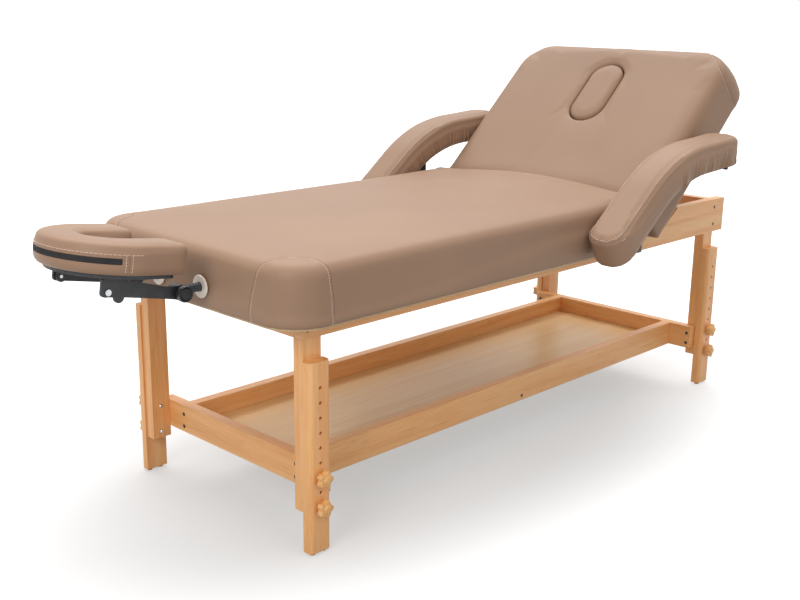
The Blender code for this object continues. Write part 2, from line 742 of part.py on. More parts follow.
def build_mattress(root):
    length = mattress_end - mattress_start
    pad = Pad(length, TABLE_WIDTH, MATTRESS_DEPTH, (MATTRESS_EDGE, SEAM_EDGE), MATTRESS_EDGE,
              (FOOT_CORNER, SEAM_CORNER), CROWN, SIDE_PULL, HEM_RADIUS, (7, 5), SEAM_CREST)
    mattress = piece("mattress", pad.mesh(), vinyl, root, (mattress_start, 0, mattress_bottom))
    half = TABLE_WIDTH / 2 - BASE_INSET
    start = mattress_start + BASE_INSET
    end = mattress_end - BASE_INSET
    radius = FOOT_CORNER - BASE_INSET
    outline = ([(end, -half), (end, half)] + arc((start + radius, half - radius), radius, 90, 180, 6)
               + arc((start + radius, radius - half), radius, 180, 270, 6))
    base = piece("mattress_base", plate_mesh(outline, BASE_THICK), plywood, root,
                 (0, 0, base_bottom + BASE_THICK / 2))
    peg_hole = rod_mesh(PEG_RADIUS + GAP, 2 * (PEG_SINK + GAP), sides=12)
    for side, sign in SIDES:
        holes = moved(peg_hole, *[(x, sign * half, z) for x, z in peg_places()])
        carve(base, cutter(f"peg_holes_{side}", holes, root))
    depth = ROD_INSIDE + BORE_SPARE
    bore = rod_mesh(grommet_sleeve + GAP, 2 * depth, ALONG_X)
    for side, sign in SIDES:
        carve(mattress, cutter(f"rod_bore_{side}", bore, root, (mattress_start, sign * ROD_SPREAD, cradle_z)))
    hole = ROD_RADIUS + GAP
    shoulder = GROMMET_FLANGE / 2
    grommet = turned_mesh([(grommet_sleeve, GROMMET_DEPTH), (grommet_sleeve, -GAP), (GROMMET_RADIUS, -GAP),
                           (GROMMET_RADIUS, -shoulder), (GROMMET_RADIUS - shoulder, -GROMMET_FLANGE),
                           (hole, -GROMMET_FLANGE), (hole, GROMMET_DEPTH)], ALONG_X, closed=True)
    for side, sign in SIDES:
        piece(f"grommet_{side}", grommet, white_plastic, root, (mattress_start, sign * ROD_SPREAD, cradle_z))


# Backrest

def build_backrest(root):
    axis = empty("backrest_axis", (axis_x, 0, axis_z), root, -math.radians(REST_ANGLE))
    pad = Pad(BACKREST_LENGTH, backrest_width, PAD_DEPTH, (PAD_EDGE, PAD_EDGE), PAD_EDGE,
              (SEAM_CORNER, HEAD_CORNER), CROWN, SIDE_PULL, HEM_RADIUS, (5, 6))
    cushion = piece("backrest_pad", pad.mesh(), vinyl, axis, (-BACKREST_LIP, 0, pad_bottom))
    half = backrest_width / 2 - BOARD_INSET
    start = BOARD_INSET - BACKREST_LIP
    end = backrest_end - BOARD_INSET
    radius = HEAD_CORNER - BOARD_INSET
    outline = ([(start, half), (start, -half)] + arc((end - radius, radius - half), radius, -90, 0, 6)
               + arc((end - radius, half - radius), radius, 0, 90, 6))
    ledge = rounded_slot(BREATH_CENTRE, BREATH_LENGTH - 2 * BREATH_LEDGE, BREATH_WIDTH - 2 * BREATH_LEDGE)
    board = piece("backrest_board", plate_mesh(outline, BOARD_THICK, [ledge]), plywood, axis,
                  (0, 0, (board_top + board_bottom) / 2))
    hole = plate_mesh(rounded_slot(BREATH_CENTRE, BREATH_LENGTH, BREATH_WIDTH), 3 * PAD_DEPTH)
    carve(cushion, cutter("breath_hole", hole, axis))
    slot_width = leaf_outer - ear_inner + 2 * SLOT_CLEAR
    slot_top = LEAF_WIDTH / 2 + SLOT_ROOF
    slot_height = slot_top - board_bottom + SLOT_CLEAR
    slot_length = SLOT_LENGTH + BACKREST_LIP + SLOT_CLEAR
    slot = box_mesh(slot_length, slot_width, slot_height)
    for side, sign in SIDES:
        tool = cutter(f"hinge_slot_{side}", slot, axis,
                      (SLOT_LENGTH - slot_length / 2, sign * (leaf_outer + ear_inner) / 2,
                       slot_top - slot_height / 2))
        carve(cushion, tool)
        carve(board, tool)
    build_skirt(axis)
    build_plug(axis)
    build_hinge(root, axis)
    return axis


def build_skirt(axis):
    """The wrapped border under the board, open towards the mattress."""
    outer = backrest_width / 2 - SKIRT_INSET
    inner = rail_outer + RAIL_CLEAR
    start = SKIRT_START - BACKREST_LIP
    radius = HEAD_CORNER - SKIRT_INSET
    inside = skirt_end - SKIRT_WALL
    outline = ([(start, -outer)] + arc((skirt_end - radius, radius - outer), radius, -90, 0, 6)
               + arc((skirt_end - radius, outer - radius), radius, 0, 90, 6)
               + [(start, outer), (start, inner)]
               + arc((inside - SKIRT_BEND, inner - SKIRT_BEND), SKIRT_BEND, 90, 0, 3)
               + arc((inside - SKIRT_BEND, SKIRT_BEND - inner), SKIRT_BEND, 0, -90, 3) + [(start, -inner)])
    piece("backrest_skirt", plate_mesh(outline, SKIRT_DEPTH), vinyl, axis,
          (0, 0, bar_top - SKIRT_DEPTH / 2))


def build_plug(axis):
    length = BREATH_LENGTH - 2 * PLUG_CLEAR
    width = BREATH_WIDTH - 2 * PLUG_CLEAR
    corner = width / 2
    pad = Pad(length, width, PLUG_DEPTH, (PLUG_EDGE, PLUG_EDGE), PLUG_EDGE, (corner, corner), CROWN, 0.0,
              HEM_RADIUS, (4, 1))
    piece("breath_plug", pad.mesh(), vinyl, axis, (BREATH_CENTRE - length / 2, 0, pad_bottom))


def build_hinge(root, axis):
    half = LEAF_WIDTH / 2
    foot = rail_bottom + LEAF_FOOT - axis_z
    leaf = plate_mesh([(-half, foot), (half, foot)] + arc((0, 0), half, 0, 180, 8), LEAF_THICK, (), UPRIGHT)
    pin_length = leaf_outer - ear_inner + PIN_END
    pin = rod_mesh(PIN_RADIUS, pin_length)
    folded = foot_place(0.0)[0] - PROP_BAR - FOLD_CLEAR
    corners = [(-EAR_RADIUS, -EAR_HEEL), (EAR_TOE, bar_bottom), (folded, bar_bottom), (folded, bar_top),
               (EAR_NECK, bar_top)]
    outline = arc((0, 0), EAR_RADIUS, 0, 180, 8) + corners
    holes = [circle((0, 0), PIN_RADIUS + GAP), circle((PROP_PIVOT, -PROP_DROP), PROP_ROD + GAP)]
    arm = plate_mesh(outline, EAR_THICK, holes, UPRIGHT)
    flange = box_mesh(folded - SLOT_LENGTH, ARM_FLANGE, EAR_THICK)
    for side, sign in SIDES:
        middle = sign * (leaf_inner + leaf_outer) / 2
        made = piece(f"hinge_leaf_{side}", leaf, black_steel, root, (axis_x, middle, axis_z))
        pin_middle = sign * (leaf_outer - pin_length / 2)
        carve(made, cutter(f"hinge_pin_{side}", pin, root, (axis_x, pin_middle, axis_z)), "UNION")
        middle = sign * (ear_inner + ear_outer) / 2
        made = piece(f"hinge_arm_{side}", arm, black_steel, axis, (0, middle, 0))
        flange_at = ((folded + SLOT_LENGTH) / 2, sign * (ear_outer - ARM_FLANGE / 2), bar_top - EAR_THICK / 2)
        carve(made, cutter(f"hinge_flange_{side}", flange, axis, flange_at), "UNION")


# Prop and racks

def prop_lift(turn):
    """The prop's angle below the level at a backrest angle, with the foot bar at its working height."""
    pivot_z = PROP_PIVOT * math.sin(turn) - PROP_DROP * math.cos(turn)
    return math.asin((pivot_z + PROP_FOOT) / prop_length)


def foot_place(turn):
    """The foot bar's centre from the hinge axis, with the prop geared to the backrest from its rest angle."""
    rest = math.radians(REST_ANGLE)
    angle = turn - prop_lift(rest) - rest + PROP_RATIO * (turn - rest)
    pivot_x = PROP_PIVOT * math.cos(turn) + PROP_DROP * math.sin(turn)
    pivot_z = PROP_PIVOT * math.sin(turn) - PROP_DROP * math.cos(turn)
    return pivot_x + prop_length * math.cos(angle), pivot_z + prop_length * math.sin(angle)


def build_prop(axis):
    rest = math.radians(REST_ANGLE)
    pivot = empty("prop_axis", (PROP_PIVOT, 0, -PROP_DROP), axis, prop_lift(rest) + rest)
    radius = PROP_ARM_DEPTH / 2
    outline = arc((0, 0), radius, 90, 270, 8) + arc((prop_length, 0), radius, -90, 90, 8)
    holes = [circle((0, 0), PROP_ROD + GAP), circle((prop_length, 0), PROP_BAR + GAP)]
    arm = plate_mesh(outline, PROP_ARM, holes, UPRIGHT)
    for side, sign in SIDES:
        piece(f"prop_arm_{side}", arm, beech, pivot, (0, sign * (prop_inner + prop_outer) / 2, 0))
    piece("prop_pivot_rod", rod_mesh(PROP_ROD, 2 * ear_outer), bright_steel, pivot)
    piece("prop_foot_bar", rod_mesh(PROP_BAR, 2 * (rail_inner - BAR_CLEAR)), bright_steel, pivot,
          (prop_length, 0, 0))


def build_racks(root):
    """Notched racks on the side rails: the foot bar rests in a notch, just above the tooth tips."""
    drop = PROP_BAR + RACK_CLEAR
    angles = [math.radians(REST_ANGLE + NOTCH_STEP * step) for step in range(NOTCH_LAST, NOTCH_FIRST - 1, -1)]
    notches = [foot_place(angle) for angle in angles]
    foot = rail_bottom + RACK_FOOT - axis_z
    half = NOTCH_WIDTH / 2
    low_x = notches[0][0] - half - RACK_MARGIN
    high_x = notches[-1][0] + half + RACK_MARGIN
    outline = [(high_x, foot), (low_x, foot), (low_x, notches[0][1] - drop)]
    for x, z in notches:
        tip = z - drop
        outline += [(x - half, tip), (x - half / 2, tip - NOTCH_DEPTH), (x + half / 2, tip - NOTCH_DEPTH),
                    (x + half, tip)]
    fold_low = min(foot_place(math.radians(angle))[1] for angle in range(math.ceil(REST_ANGLE)))
    outline[-1] = (outline[-1][0], fold_low - drop)
    outline.append((high_x, fold_low - drop))
    rack = plate_mesh(outline, RACK_THICK, stand=UPRIGHT)
    for side, sign in SIDES:
        piece(f"rack_{side}", rack, beech, root, (axis_x, sign * (rail_inner - GAP - RACK_THICK / 2), axis_z))


# Armrests

def arm_point(along, across, height):
    """A point of a bent armrest: along its middle line from the tip, across it, and above that line."""
    slope, level = math.radians(ARM_SLOPE), math.radians(ARM_LEVEL)
    bend_length = ARM_BEND * (slope - level)
    front = min(along, ARM_FRONT)
    bent = min(max(along - ARM_FRONT, 0.0), bend_length)
    rear = max(along - ARM_FRONT - bend_length, 0.0)
    angle = slope - bent / ARM_BEND
    x = (front * math.cos(slope) + ARM_BEND * (math.sin(slope) - math.sin(angle)) + rear * math.cos(level)
         - height * math.sin(angle))
    z = (front * math.sin(slope) + ARM_BEND * (math.cos(angle) - math.cos(slope)) + rear * math.sin(level)
         + height * math.cos(angle))
    return x, across, z


def bend_stations(shift=0.0):
    """Places along an armrest between which its bend is faceted, the same on every layer of it."""
    bend_length = ARM_BEND * math.radians(ARM_SLOPE - ARM_LEVEL)
    return [ARM_FRONT + bend_length * step / BEND_STEPS + shift for step in range(BEND_STEPS + 1)]


def build_armrests(root):
    length = bend_stations()[-1] + ARM_REAR
    total = ARM_PAD + GAP + ARM_BOARD
    board_low = -total / 2
    pad_low = board_low + ARM_BOARD + GAP
    pad = Pad(length, ARM_WIDTH, ARM_PAD, (ARM_EDGE, ARM_EDGE), ARM_EDGE, (ARM_CORNER, ARM_CORNER), ARM_CROWN,
              0.0, HEM_RADIUS, (bend_stations(), 1))
    pad_shape = pad.mesh(lambda x, y, z: arm_point(x, y, z + pad_low))
    corner = ARM_CORNER - ARM_BOARD_INSET
    board = Pad(length - 2 * ARM_BOARD_INSET, ARM_WIDTH - 2 * ARM_BOARD_INSET, ARM_BOARD, (0.0, 0.0), 0.0,
                (corner, corner), 0.0, 0.0, 0.0, (bend_stations(-ARM_BOARD_INSET), 1))
    board_shape = board.mesh(lambda x, y, z: arm_point(x + ARM_BOARD_INSET, y, z + board_low))
    bracket = bracket_mesh(board_low)
    for side, sign in SIDES:
        tip = empty(f"armrest_{side}", (axis_x - ARM_TIP_BACK, sign * (arm_inner + ARM_WIDTH / 2),
                                        axis_z - ARM_TIP_DROP), root)
        piece(f"armrest_pad_{side}", pad_shape, vinyl, tip)
        piece(f"armrest_board_{side}", board_shape, plywood, tip)
        piece(f"armrest_bracket_{side}", bracket if sign > 0 else mirrored(bracket), black_steel, tip)


def bracket_mesh(board_low):
    """The far armrest's bracket: an upright plate, a flange bent along the board, and pegs for the base."""
    start_x = ARM_TIP_BACK - BRACKET_START
    end_x = start_x + BRACKET_LENGTH
    top = board_low - BRACKET_SEAT
    limits = [along_at(start_x, top), along_at(end_x, top)]
    alongs = [limits[0]] + [place for place in bend_stations() if limits[0] < place < limits[1]] + [limits[1]]
    peg_z = peg_places()[0][1] - (axis_z - ARM_TIP_DROP)
    seat = [arm_point(along, 0, top - FLANGE_THICK / 2) for along in alongs]
    outline = [(x, z) for x, y, z in reversed(seat)] + [(seat[0][0], peg_z - BRACKET_DROP),
                                                        (seat[-1][0], peg_z - BRACKET_DROP)]
    plate_y = BRACKET_INSET + BRACKET_THICK / 2 - ARM_WIDTH / 2
    plate = plate_mesh(outline, BRACKET_THICK, stand=UPRIGHT)
    plate.transform(Matrix.Translation((0, plate_y, 0)))
    bracket = bpy.data.objects.new("bracket", plate)
    flange = Pad(limits[1] - limits[0], FLANGE_WIDTH, FLANGE_THICK, (0.0, 0.0), 0.0, (PEG_EDGE, PEG_EDGE),
                 0.0, 0.0, 0.0, (bend_stations(-limits[0]), 2))
    flange_y = plate_y - BRACKET_THICK / 2 + FLANGE_WIDTH / 2 - PEG_RADIUS
    strip = flange.mesh(lambda x, y, z: arm_point(x + limits[0], y + flange_y, z + top - FLANGE_THICK))
    carve(bracket, cutter("bracket_flange", strip, None), "UNION")
    peg_end = TABLE_WIDTH / 2 - BASE_INSET - PEG_SINK - arm_inner - ARM_WIDTH / 2
    peg = rod_mesh(PEG_RADIUS, plate_y - peg_end, sides=12)
    for index, (x, z) in enumerate(peg_places()):
        at = (x - axis_x + ARM_TIP_BACK, (plate_y + peg_end) / 2, peg_z)
        carve(bracket, cutter(f"bracket_peg_{index}", peg, None, at), "UNION")
    return evaluated(bracket)


def along_at(x, height):
    """Where along the armrest's middle line a point at a given height lies over a given X."""
    low, high = 0.0, ARM_FRONT + ARM_BEND + ARM_REAR
    for _ in range(40):
        middle = (low + high) / 2
        if arm_point(middle, 0, height)[0] < x:
            low = middle
        else:
            high = middle
    return (low + high) / 2


# Face cradle

def build_cradle(root):
    pivot = empty("cradle_pivot", (cradle_x, 0, cradle_z), root)
    lift = empty("cradle_lift", (0, 0, 0), pivot, cradle_tilt)
    tilt = empty("cradle_tilt", (-CRADLE_ARM, 0, 0), lift, -math.radians(HEAD_LEVEL))
    build_cradle_rods(pivot)
    build_cradle_arms(lift)
    build_cradle_head(tilt)


def build_cradle_rods(pivot):
    """Ribbed rods, each with a hub across its end and a stud that carries the arm and the knob."""
    back = HUB_OUT + ROD_INSIDE
    profile = [(0, back), (ROD_RADIUS, back)]
    for rib in reversed(range(RIB_COUNT)):
        at = HUB_RADIUS + (rib + 0.5) * RIB_PITCH
        profile += [(ROD_RADIUS, at + RIB_PITCH / 2), (ROD_RADIUS - RIB_DEPTH, at)]
    profile += [(ROD_RADIUS, HUB_RADIUS), (ROD_RADIUS, 0), (0, 0)]
    rod = turned_mesh(profile, ALONG_X, 10)
    hub = rod_mesh(HUB_RADIUS, HUB_WIDTH, sides=20)
    stud_length = CRADLE_ARM_THICK + 2 * GAP + CRADLE_KNOB_BORE + HUB_WIDTH / 2
    stud = rod_mesh(PIVOT_RADIUS, stud_length, sides=12)
    for side, sign in SIDES:
        at = (0, sign * ROD_SPREAD, 0)
        made = piece(f"cradle_rod_{side}", rod, black_steel, pivot, at)
        carve(made, cutter(f"cradle_hub_{side}", hub, pivot, at), "UNION")
        carve(made, cutter(f"cradle_stud_{side}", stud, pivot, (0, sign * (ROD_SPREAD + stud_length / 2), 0)),
              "UNION")
    knob_foot = cradle_arm_outer + GAP
    rim = CRADLE_KNOB / 6
    bore = PIVOT_RADIUS + GAP
    bore_top = CRADLE_KNOB_BORE + GAP
    knob = turned_mesh([(0, CRADLE_KNOB_LENGTH), (CRADLE_KNOB - 2 * rim, CRADLE_KNOB_LENGTH),
                        (CRADLE_KNOB - 1.5 * rim, CRADLE_KNOB_LENGTH - KNOB_GROOVE),
                        (CRADLE_KNOB - rim, CRADLE_KNOB_LENGTH), (CRADLE_KNOB - rim / 3, CRADLE_KNOB_LENGTH),
                        (CRADLE_KNOB, CRADLE_KNOB_LENGTH - rim), (CRADLE_KNOB, CRADLE_KNOB_LENGTH / 2),
                        (CRADLE_KNOB - 2 * rim, 0), (bore, 0), (bore, bore_top), (0, bore_top)], sides=20)
    for side, sign in SIDES:
        shape = knob if sign > 0 else mirrored(knob)
        piece(f"cradle_knob_{side}", shape, black_plastic, pivot, (0, sign * knob_foot, 0))


def build_cradle_arms(lift):
    """Tapered arms, of which the near one has a thumb tab below."""
    tip = -CRADLE_ARM - CRADLE_ARM_TIP
    end_angle = 180 - math.degrees(math.acos(CRADLE_ARM_TIP / CRADLE_ARM_TOP))
    tab = [(-TAB_AT + x, -CRADLE_ARM_BELOW + z) for x, z in arc((0, 0), TAB_RADIUS, 180, 360, 6)]
    corner = (tip + CRADLE_ARM_ROUND, CRADLE_ARM_ROUND - CRADLE_ARM_BELOW)
    above = (arc((0, 0), HUB_RADIUS, -120, 120, 12) + [(-CRADLE_NECK_AT, CRADLE_NECK)]
             + arc((-CRADLE_ARM, 0), CRADLE_ARM_TOP, 90, end_angle, 3))
    front = arc(corner, CRADLE_ARM_ROUND, 180, 270, 4)
    neck = [(-CRADLE_NECK_AT, -CRADLE_NECK)]
    outlines = {"near": above + front + tab + neck, "far": above + front + neck}
    holes = [circle((0, 0), PIVOT_RADIUS + GAP, 12), circle((-CRADLE_ARM, 0), TILT_RADIUS + GAP, 12)]
    middle = (cradle_arm_inner + cradle_arm_outer) / 2
    face = cradle_arm_outer + GAP
    bolt = turned_mesh([(0, face + TILT_CAP), (TILT_HEAD, face + TILT_CAP), (TILT_HEAD, face),
                        (TILT_RADIUS, face), (TILT_RADIUS, plate_ear_inner), (0, plate_ear_inner)], sides=12)
    for side, sign in SIDES:
        arm = plate_mesh(outlines[side], CRADLE_ARM_THICK, holes, UPRIGHT)
        piece(f"cradle_arm_{side}", arm, black_plastic, lift, (0, sign * middle, 0))
        piece(f"cradle_tilt_bolt_{side}", bolt if sign > 0 else mirrored(bolt), bright_steel, lift,
              (-CRADLE_ARM, 0, 0))


def horseshoe_outline(outer, inner, limb_end, corner):
    """A horseshoe that is open towards +X, with rounded limb ends."""
    end = limb_end - corner
    return (arc((HORSE_CENTRE, 0), outer, 90, 270, 20)
            + arc((end, corner - outer), corner, 270, 360, 4)
            + arc((end, -inner - corner), corner, 0, 90, 4)
            + arc((HORSE_CENTRE, 0), inner, 270, 90, 14)
            + arc((end, inner + corner), corner, 270, 360, 4)
            + arc((end, outer - corner), corner, 0, 90, 4))


def build_cradle_head(tilt):
    outer = HORSE_RADIUS - PLATE_INSET
    inner = HORSE_RADIUS - LIMB_WIDTH + PLATE_INSET
    shape = plate_mesh(horseshoe_outline(outer, inner, LIMB_END - PLATE_INSET, PLATE_CORNER),
                       PLATE_THICK)
    plate = piece("cradle_plate", shape, black_plastic, tilt, (0, 0, plate_bottom + PLATE_THICK / 2))
    radius = PLATE_EAR_RADIUS
    ear_top = plate_bottom + PLATE_THICK / 2
    ear = plate_mesh([(radius, ear_top), (-radius, ear_top)] + arc((0, 0), radius, 180, 360, 8), PLATE_EAR,
                     [circle((0, 0), TILT_RADIUS + GAP, 12)], UPRIGHT)
    for side, sign in SIDES:
        middle = sign * (plate_ear_inner + plate_ear_outer) / 2
        carve(plate, cutter(f"plate_ear_{side}", ear, tilt, (0, middle, 0)), "UNION")
    centre_line = HORSE_RADIUS - LIMB_WIDTH / 2
    straight = LIMB_END - HORSE_CENTRE
    length = 2 * straight + math.pi * centre_line

    def bend(along, across, height):
        """A straight pad laid round the horseshoe, starting at the near limb's end."""
        if along < straight:
            return LIMB_END - along, -centre_line - across, height
        if along > length - straight:
            return LIMB_END - length + along, centre_line + across, height
        angle = -math.pi / 2 - (along - straight) / centre_line
        radius = centre_line + across
        return HORSE_CENTRE + radius * math.cos(angle), radius * math.sin(angle), height

    pad = Pad(length, LIMB_WIDTH, CUSHION_DEPTH, (CUSHION_EDGE, CUSHION_EDGE), CUSHION_EDGE,
              (LIMB_CORNER, LIMB_CORNER), CROWN, SIDE_PULL / 2, HEM_RADIUS, (14, 1))
    piece("cradle_cushion", pad.mesh(bend), vinyl, tilt, (0, 0, cushion_bottom))


root = empty("table", (-origin_x, 0, 0))
build_legs(root)
build_frame(root)
build_shelf(root)
build_mattress(root)
backrest_axis = build_backrest(root)
build_prop(backrest_axis)
build_racks(root)
build_armrests(root)
build_cradle(root)
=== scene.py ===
import json
import math

import bmesh
import bpy
from mathutils import Matrix, Vector
from mathutils.bvhtree import BVHTree
from mathutils.kdtree import KDTree


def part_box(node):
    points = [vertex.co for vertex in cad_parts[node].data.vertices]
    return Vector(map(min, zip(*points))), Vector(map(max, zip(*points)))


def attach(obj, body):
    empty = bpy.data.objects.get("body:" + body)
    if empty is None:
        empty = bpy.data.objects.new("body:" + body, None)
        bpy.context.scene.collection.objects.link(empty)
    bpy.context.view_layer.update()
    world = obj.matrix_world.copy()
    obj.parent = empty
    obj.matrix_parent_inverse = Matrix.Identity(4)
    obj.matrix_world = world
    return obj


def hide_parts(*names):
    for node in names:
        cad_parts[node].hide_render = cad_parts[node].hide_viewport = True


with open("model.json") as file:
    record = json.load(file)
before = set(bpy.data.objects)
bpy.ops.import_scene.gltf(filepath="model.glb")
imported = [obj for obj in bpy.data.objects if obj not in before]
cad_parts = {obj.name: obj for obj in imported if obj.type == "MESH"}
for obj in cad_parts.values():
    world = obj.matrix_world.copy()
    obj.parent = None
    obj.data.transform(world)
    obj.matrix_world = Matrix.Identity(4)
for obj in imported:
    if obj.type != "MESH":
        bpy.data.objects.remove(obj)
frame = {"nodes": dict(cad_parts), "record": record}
nodes = frame["nodes"]
scene = bpy.context.scene
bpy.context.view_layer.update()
print("frame loaded:", len(nodes), "nodes")

originX = 0.6683802  # the model's middle, from the zero at which the table's lengths start

# camera at the photograph's viewing angle
viewer = {"place": (-1.43538 - originX, -1.99062, 1.17652), "yaw": 0.7979, "pitch": 0.2638,
          "roll": 0.01296, "lens": 49.9}


def placeCamera():
    camera = bpy.data.objects.new("viewer", bpy.data.cameras.new("viewer"))
    scene.collection.objects.link(camera)
    yaw, pitch, roll = viewer["yaw"], viewer["pitch"], viewer["roll"]
    forward = Vector((math.cos(pitch) * math.sin(yaw), math.cos(pitch) * math.cos(yaw), -math.sin(pitch)))
    level = Vector((math.cos(yaw), -math.sin(yaw), 0))
    right = Matrix.Rotation(-roll, 3, forward) @ level
    turn = Matrix((right, right.cross(forward), -forward)).transposed()
    camera.matrix_world = Matrix.Translation(viewer["place"]) @ turn.to_4x4()
    camera.data.lens = viewer["lens"]
    camera.data.sensor_width = 36
    scene.camera = camera


placeCamera()


# colours and nodes
def linear(code):  # an sRGB hex colour as linear numbers
    shares = [int(code[place:place + 2], 16) / 255 for place in (1, 3, 5)]
    shares = [share / 12.92 if share <= 0.04045 else ((share + 0.055) / 1.055) ** 2.4 for share in shares]
    return shares + [1.0]


def addNode(tree, kind, inputs=None, **settings):  # one node, its settings, and its values or links
    node = tree.nodes.new(kind)
    for name, value in settings.items():
        setattr(node, name, value)
    for name, value in (inputs or {}).items():
        if isinstance(value, bpy.types.NodeSocket):
            tree.links.new(value, node.inputs[name])
        else:
            node.inputs[name].default_value = value
    return node


def newFinish(name, roughness, metallic=0.0, ior=1.5):
    finish = bpy.data.materials.new(name)
    finish.use_nodes = True
    shader = finish.node_tree.nodes["Principled BSDF"]
    shader.inputs["Roughness"].default_value = roughness
    shader.inputs["Metallic"].default_value = metallic
    shader.inputs["IOR"].default_value = ior
    return finish, finish.node_tree, shader


def ramp(node, *stops):  # colour stops of a ramp node
    band = node.color_ramp
    for place, colour in zip((0, -1), (stops[0], stops[-1])):
        band.elements[place].position, band.elements[place].color = colour
    for position, colour in stops[1:-1]:
        band.elements.new(position).color = colour
    return node.outputs["Color"]


# calendered vinyl on foam: satin skin, fine leather grain, faint clouding
vinylLook = {"colour": "#A2836C", "cloud": "#9E7F69", "cloudMm": 240, "grainMm": 2.6, "grainDepth": 0.00022,
             "roughness": 0.47, "sheen": 0.2}


def makeVinyl(name, look):
    finish, tree, shader = newFinish(name, look["roughness"])
    shader.inputs["Specular IOR Level"].default_value = look["sheen"]
    place = addNode(tree, "ShaderNodeTexCoord").outputs["Object"]
    cloud = addNode(tree, "ShaderNodeTexNoise",
                    {"Vector": place, "Scale": 1000 / look["cloudMm"], "Detail": 3.0})
    band = addNode(tree, "ShaderNodeValToRGB", {"Fac": cloud.outputs["Fac"]})
    tree.links.new(ramp(band, (0.35, linear(look["cloud"])), (0.65, linear(look["colour"]))),
                   shader.inputs["Base Color"])
    cell = addNode(tree, "ShaderNodeTexVoronoi", {"Vector": place, "Scale": 1000 / look["grainMm"]},
                   feature="SMOOTH_F1")  # real grain is about 1 mm, drawn coarser so that it shows
    bump = addNode(tree, "ShaderNodeBump", {"Height": cell.outputs["Distance"], "Strength": 0.25,
                                            "Distance": look["grainDepth"]})
    tree.links.new(bump.outputs["Normal"], shader.inputs["Normal"])
    return finish


# clear-lacquered wood: straight grain, growth bands and short dark flecks along the length
beechLook = {"light": "#F9C58A", "mid": "#F5B675", "dark": "#E7A260", "fleck": "#CB8449", "bandMm": 26,
             "grainMm": 2.4, "fleckMm": 3.2, "stretch": 22, "roughness": 0.42}
veneerLook = {"light": "#F8DBAC", "mid": "#F2CD98", "dark": "#E6BA80", "fleck": "#D0A066", "bandMm": 60,
              "grainMm": 3.0, "fleckMm": 4.0, "stretch": 40, "roughness": 0.36}
knobLook = {"light": "#F5C487", "mid": "#EFB670", "dark": "#E0A056", "fleck": "#C78843", "bandMm": 9,
            "grainMm": 1.6, "fleckMm": 2.6, "stretch": 7, "roughness": 0.4}
plywoodLook = {"light": "#C9AE86", "mid": "#BFA27A", "dark": "#AA8C63", "fleck": "#8F7049", "bandMm": 45,
               "grainMm": 2.5, "fleckMm": 4.0, "stretch": 18, "roughness": 0.6}


def makeWood(name, look, axis):
    finish, tree, shader = newFinish(name, look["roughness"])
    place = addNode(tree, "ShaderNodeTexCoord").outputs["Object"]
    squeeze = [1.0 / look["stretch"] if index == "XYZ".index(axis) else 1.0 for index in range(3)]
    along = addNode(tree, "ShaderNodeMapping", {"Vector": place, "Scale": squeeze}).outputs["Vector"]
    bands = addNode(tree, "ShaderNodeTexNoise",
                    {"Vector": along, "Scale": 1000 / look["bandMm"], "Detail": 2.0, "Distortion": 0.6})
    grain = addNode(tree, "ShaderNodeTexNoise",
                    {"Vector": along, "Scale": 1000 / look["grainMm"], "Detail": 3.0})
    blend = addNode(tree, "ShaderNodeMix", {0: 0.38, 2: bands.outputs["Fac"], 3: grain.outputs["Fac"]})
    band = addNode(tree, "ShaderNodeValToRGB", {"Fac": blend.outputs[0]})
    wood = ramp(band, (0.32, linear(look["dark"])), (0.5, linear(look["mid"])), (0.68, linear(look["light"])))
    flecks = addNode(tree, "ShaderNodeTexNoise",
                     {"Vector": along, "Scale": 1000 / look["fleckMm"], "Detail": 1.0})
    mask = addNode(tree, "ShaderNodeMapRange",
                   {"Value": flecks.outputs["Fac"], "From Min": 0.63, "From Max": 0.74, "To Max": 0.4})
    marked = addNode(tree, "ShaderNodeMix", {0: mask.outputs[0], 6: wood, 7: linear(look["fleck"])},
                     data_type="RGBA")
    tree.links.new(marked.outputs[2], shader.inputs["Base Color"])
    bump = addNode(tree, "ShaderNodeBump",
                   {"Height": grain.outputs["Fac"], "Strength": 0.12, "Distance": 0.0004})
    tree.links.new(bump.outputs["Normal"], shader.inputs["Normal"])
    shader.inputs["Coat Weight"].default_value = 0.15  # thin clear lacquer
    shader.inputs["Coat Roughness"].default_value = 0.28
    return finish


# one-colour stock with a surface: powder coat, moulded plastic, zinc plate, sewing thread, rubber
stockLooks = {
    "powderCoat": {"colour": "#26282B", "worn": "#33363A", "grainMm": 1.8, "bump": 0.00012,
                   "roughness": 0.48},
    "mouldedNylon": {"colour": "#212327", "worn": "#2F3237", "grainMm": 2.2, "bump": 0.00010,
                     "roughness": 0.42},
    "zincPlate": {"colour": "#C9CACB", "worn": "#B4B6B8", "grainMm": 1.5, "bump": 0.00004, "roughness": 0.24,
                  "metallic": 1.0},
    "ivoryPlastic": {"colour": "#FBEFE2", "worn": "#F2E4D5", "grainMm": 3.0, "bump": 0.00003,
                     "roughness": 0.36},
    "glideRubber": {"colour": "#2B2320", "worn": "#3A302B", "grainMm": 1.4, "bump": 0.00012,
                    "roughness": 0.7},
    # the seam's fold is the cover's own vinyl, coloured darker to paint the shade in the crease
    "seamFoldPaintedShade": {"colour": "#86695A", "worn": "#7A5F51", "grainMm": 2.0, "bump": 0.00008, "roughness": 0.6},
    "stitchThread": {"colour": "#D9C3B3", "worn": "#BFA592", "grainMm": 0.9, "bump": 0.00012,
                     "roughness": 0.65},
    "zipTape": {"colour": "#3F3C3D", "worn": "#333031", "grainMm": 1.6, "bump": 0.00020, "roughness": 0.7},
    # cloth under the arms: a real dark cloth whose near-black also paints the shade beneath the arms
    "darkUnderClothPaintedShade": {"colour": "#3A3534", "worn": "#2E2A29", "grainMm": 1.6, "bump": 0.00015, "roughness": 0.85}}


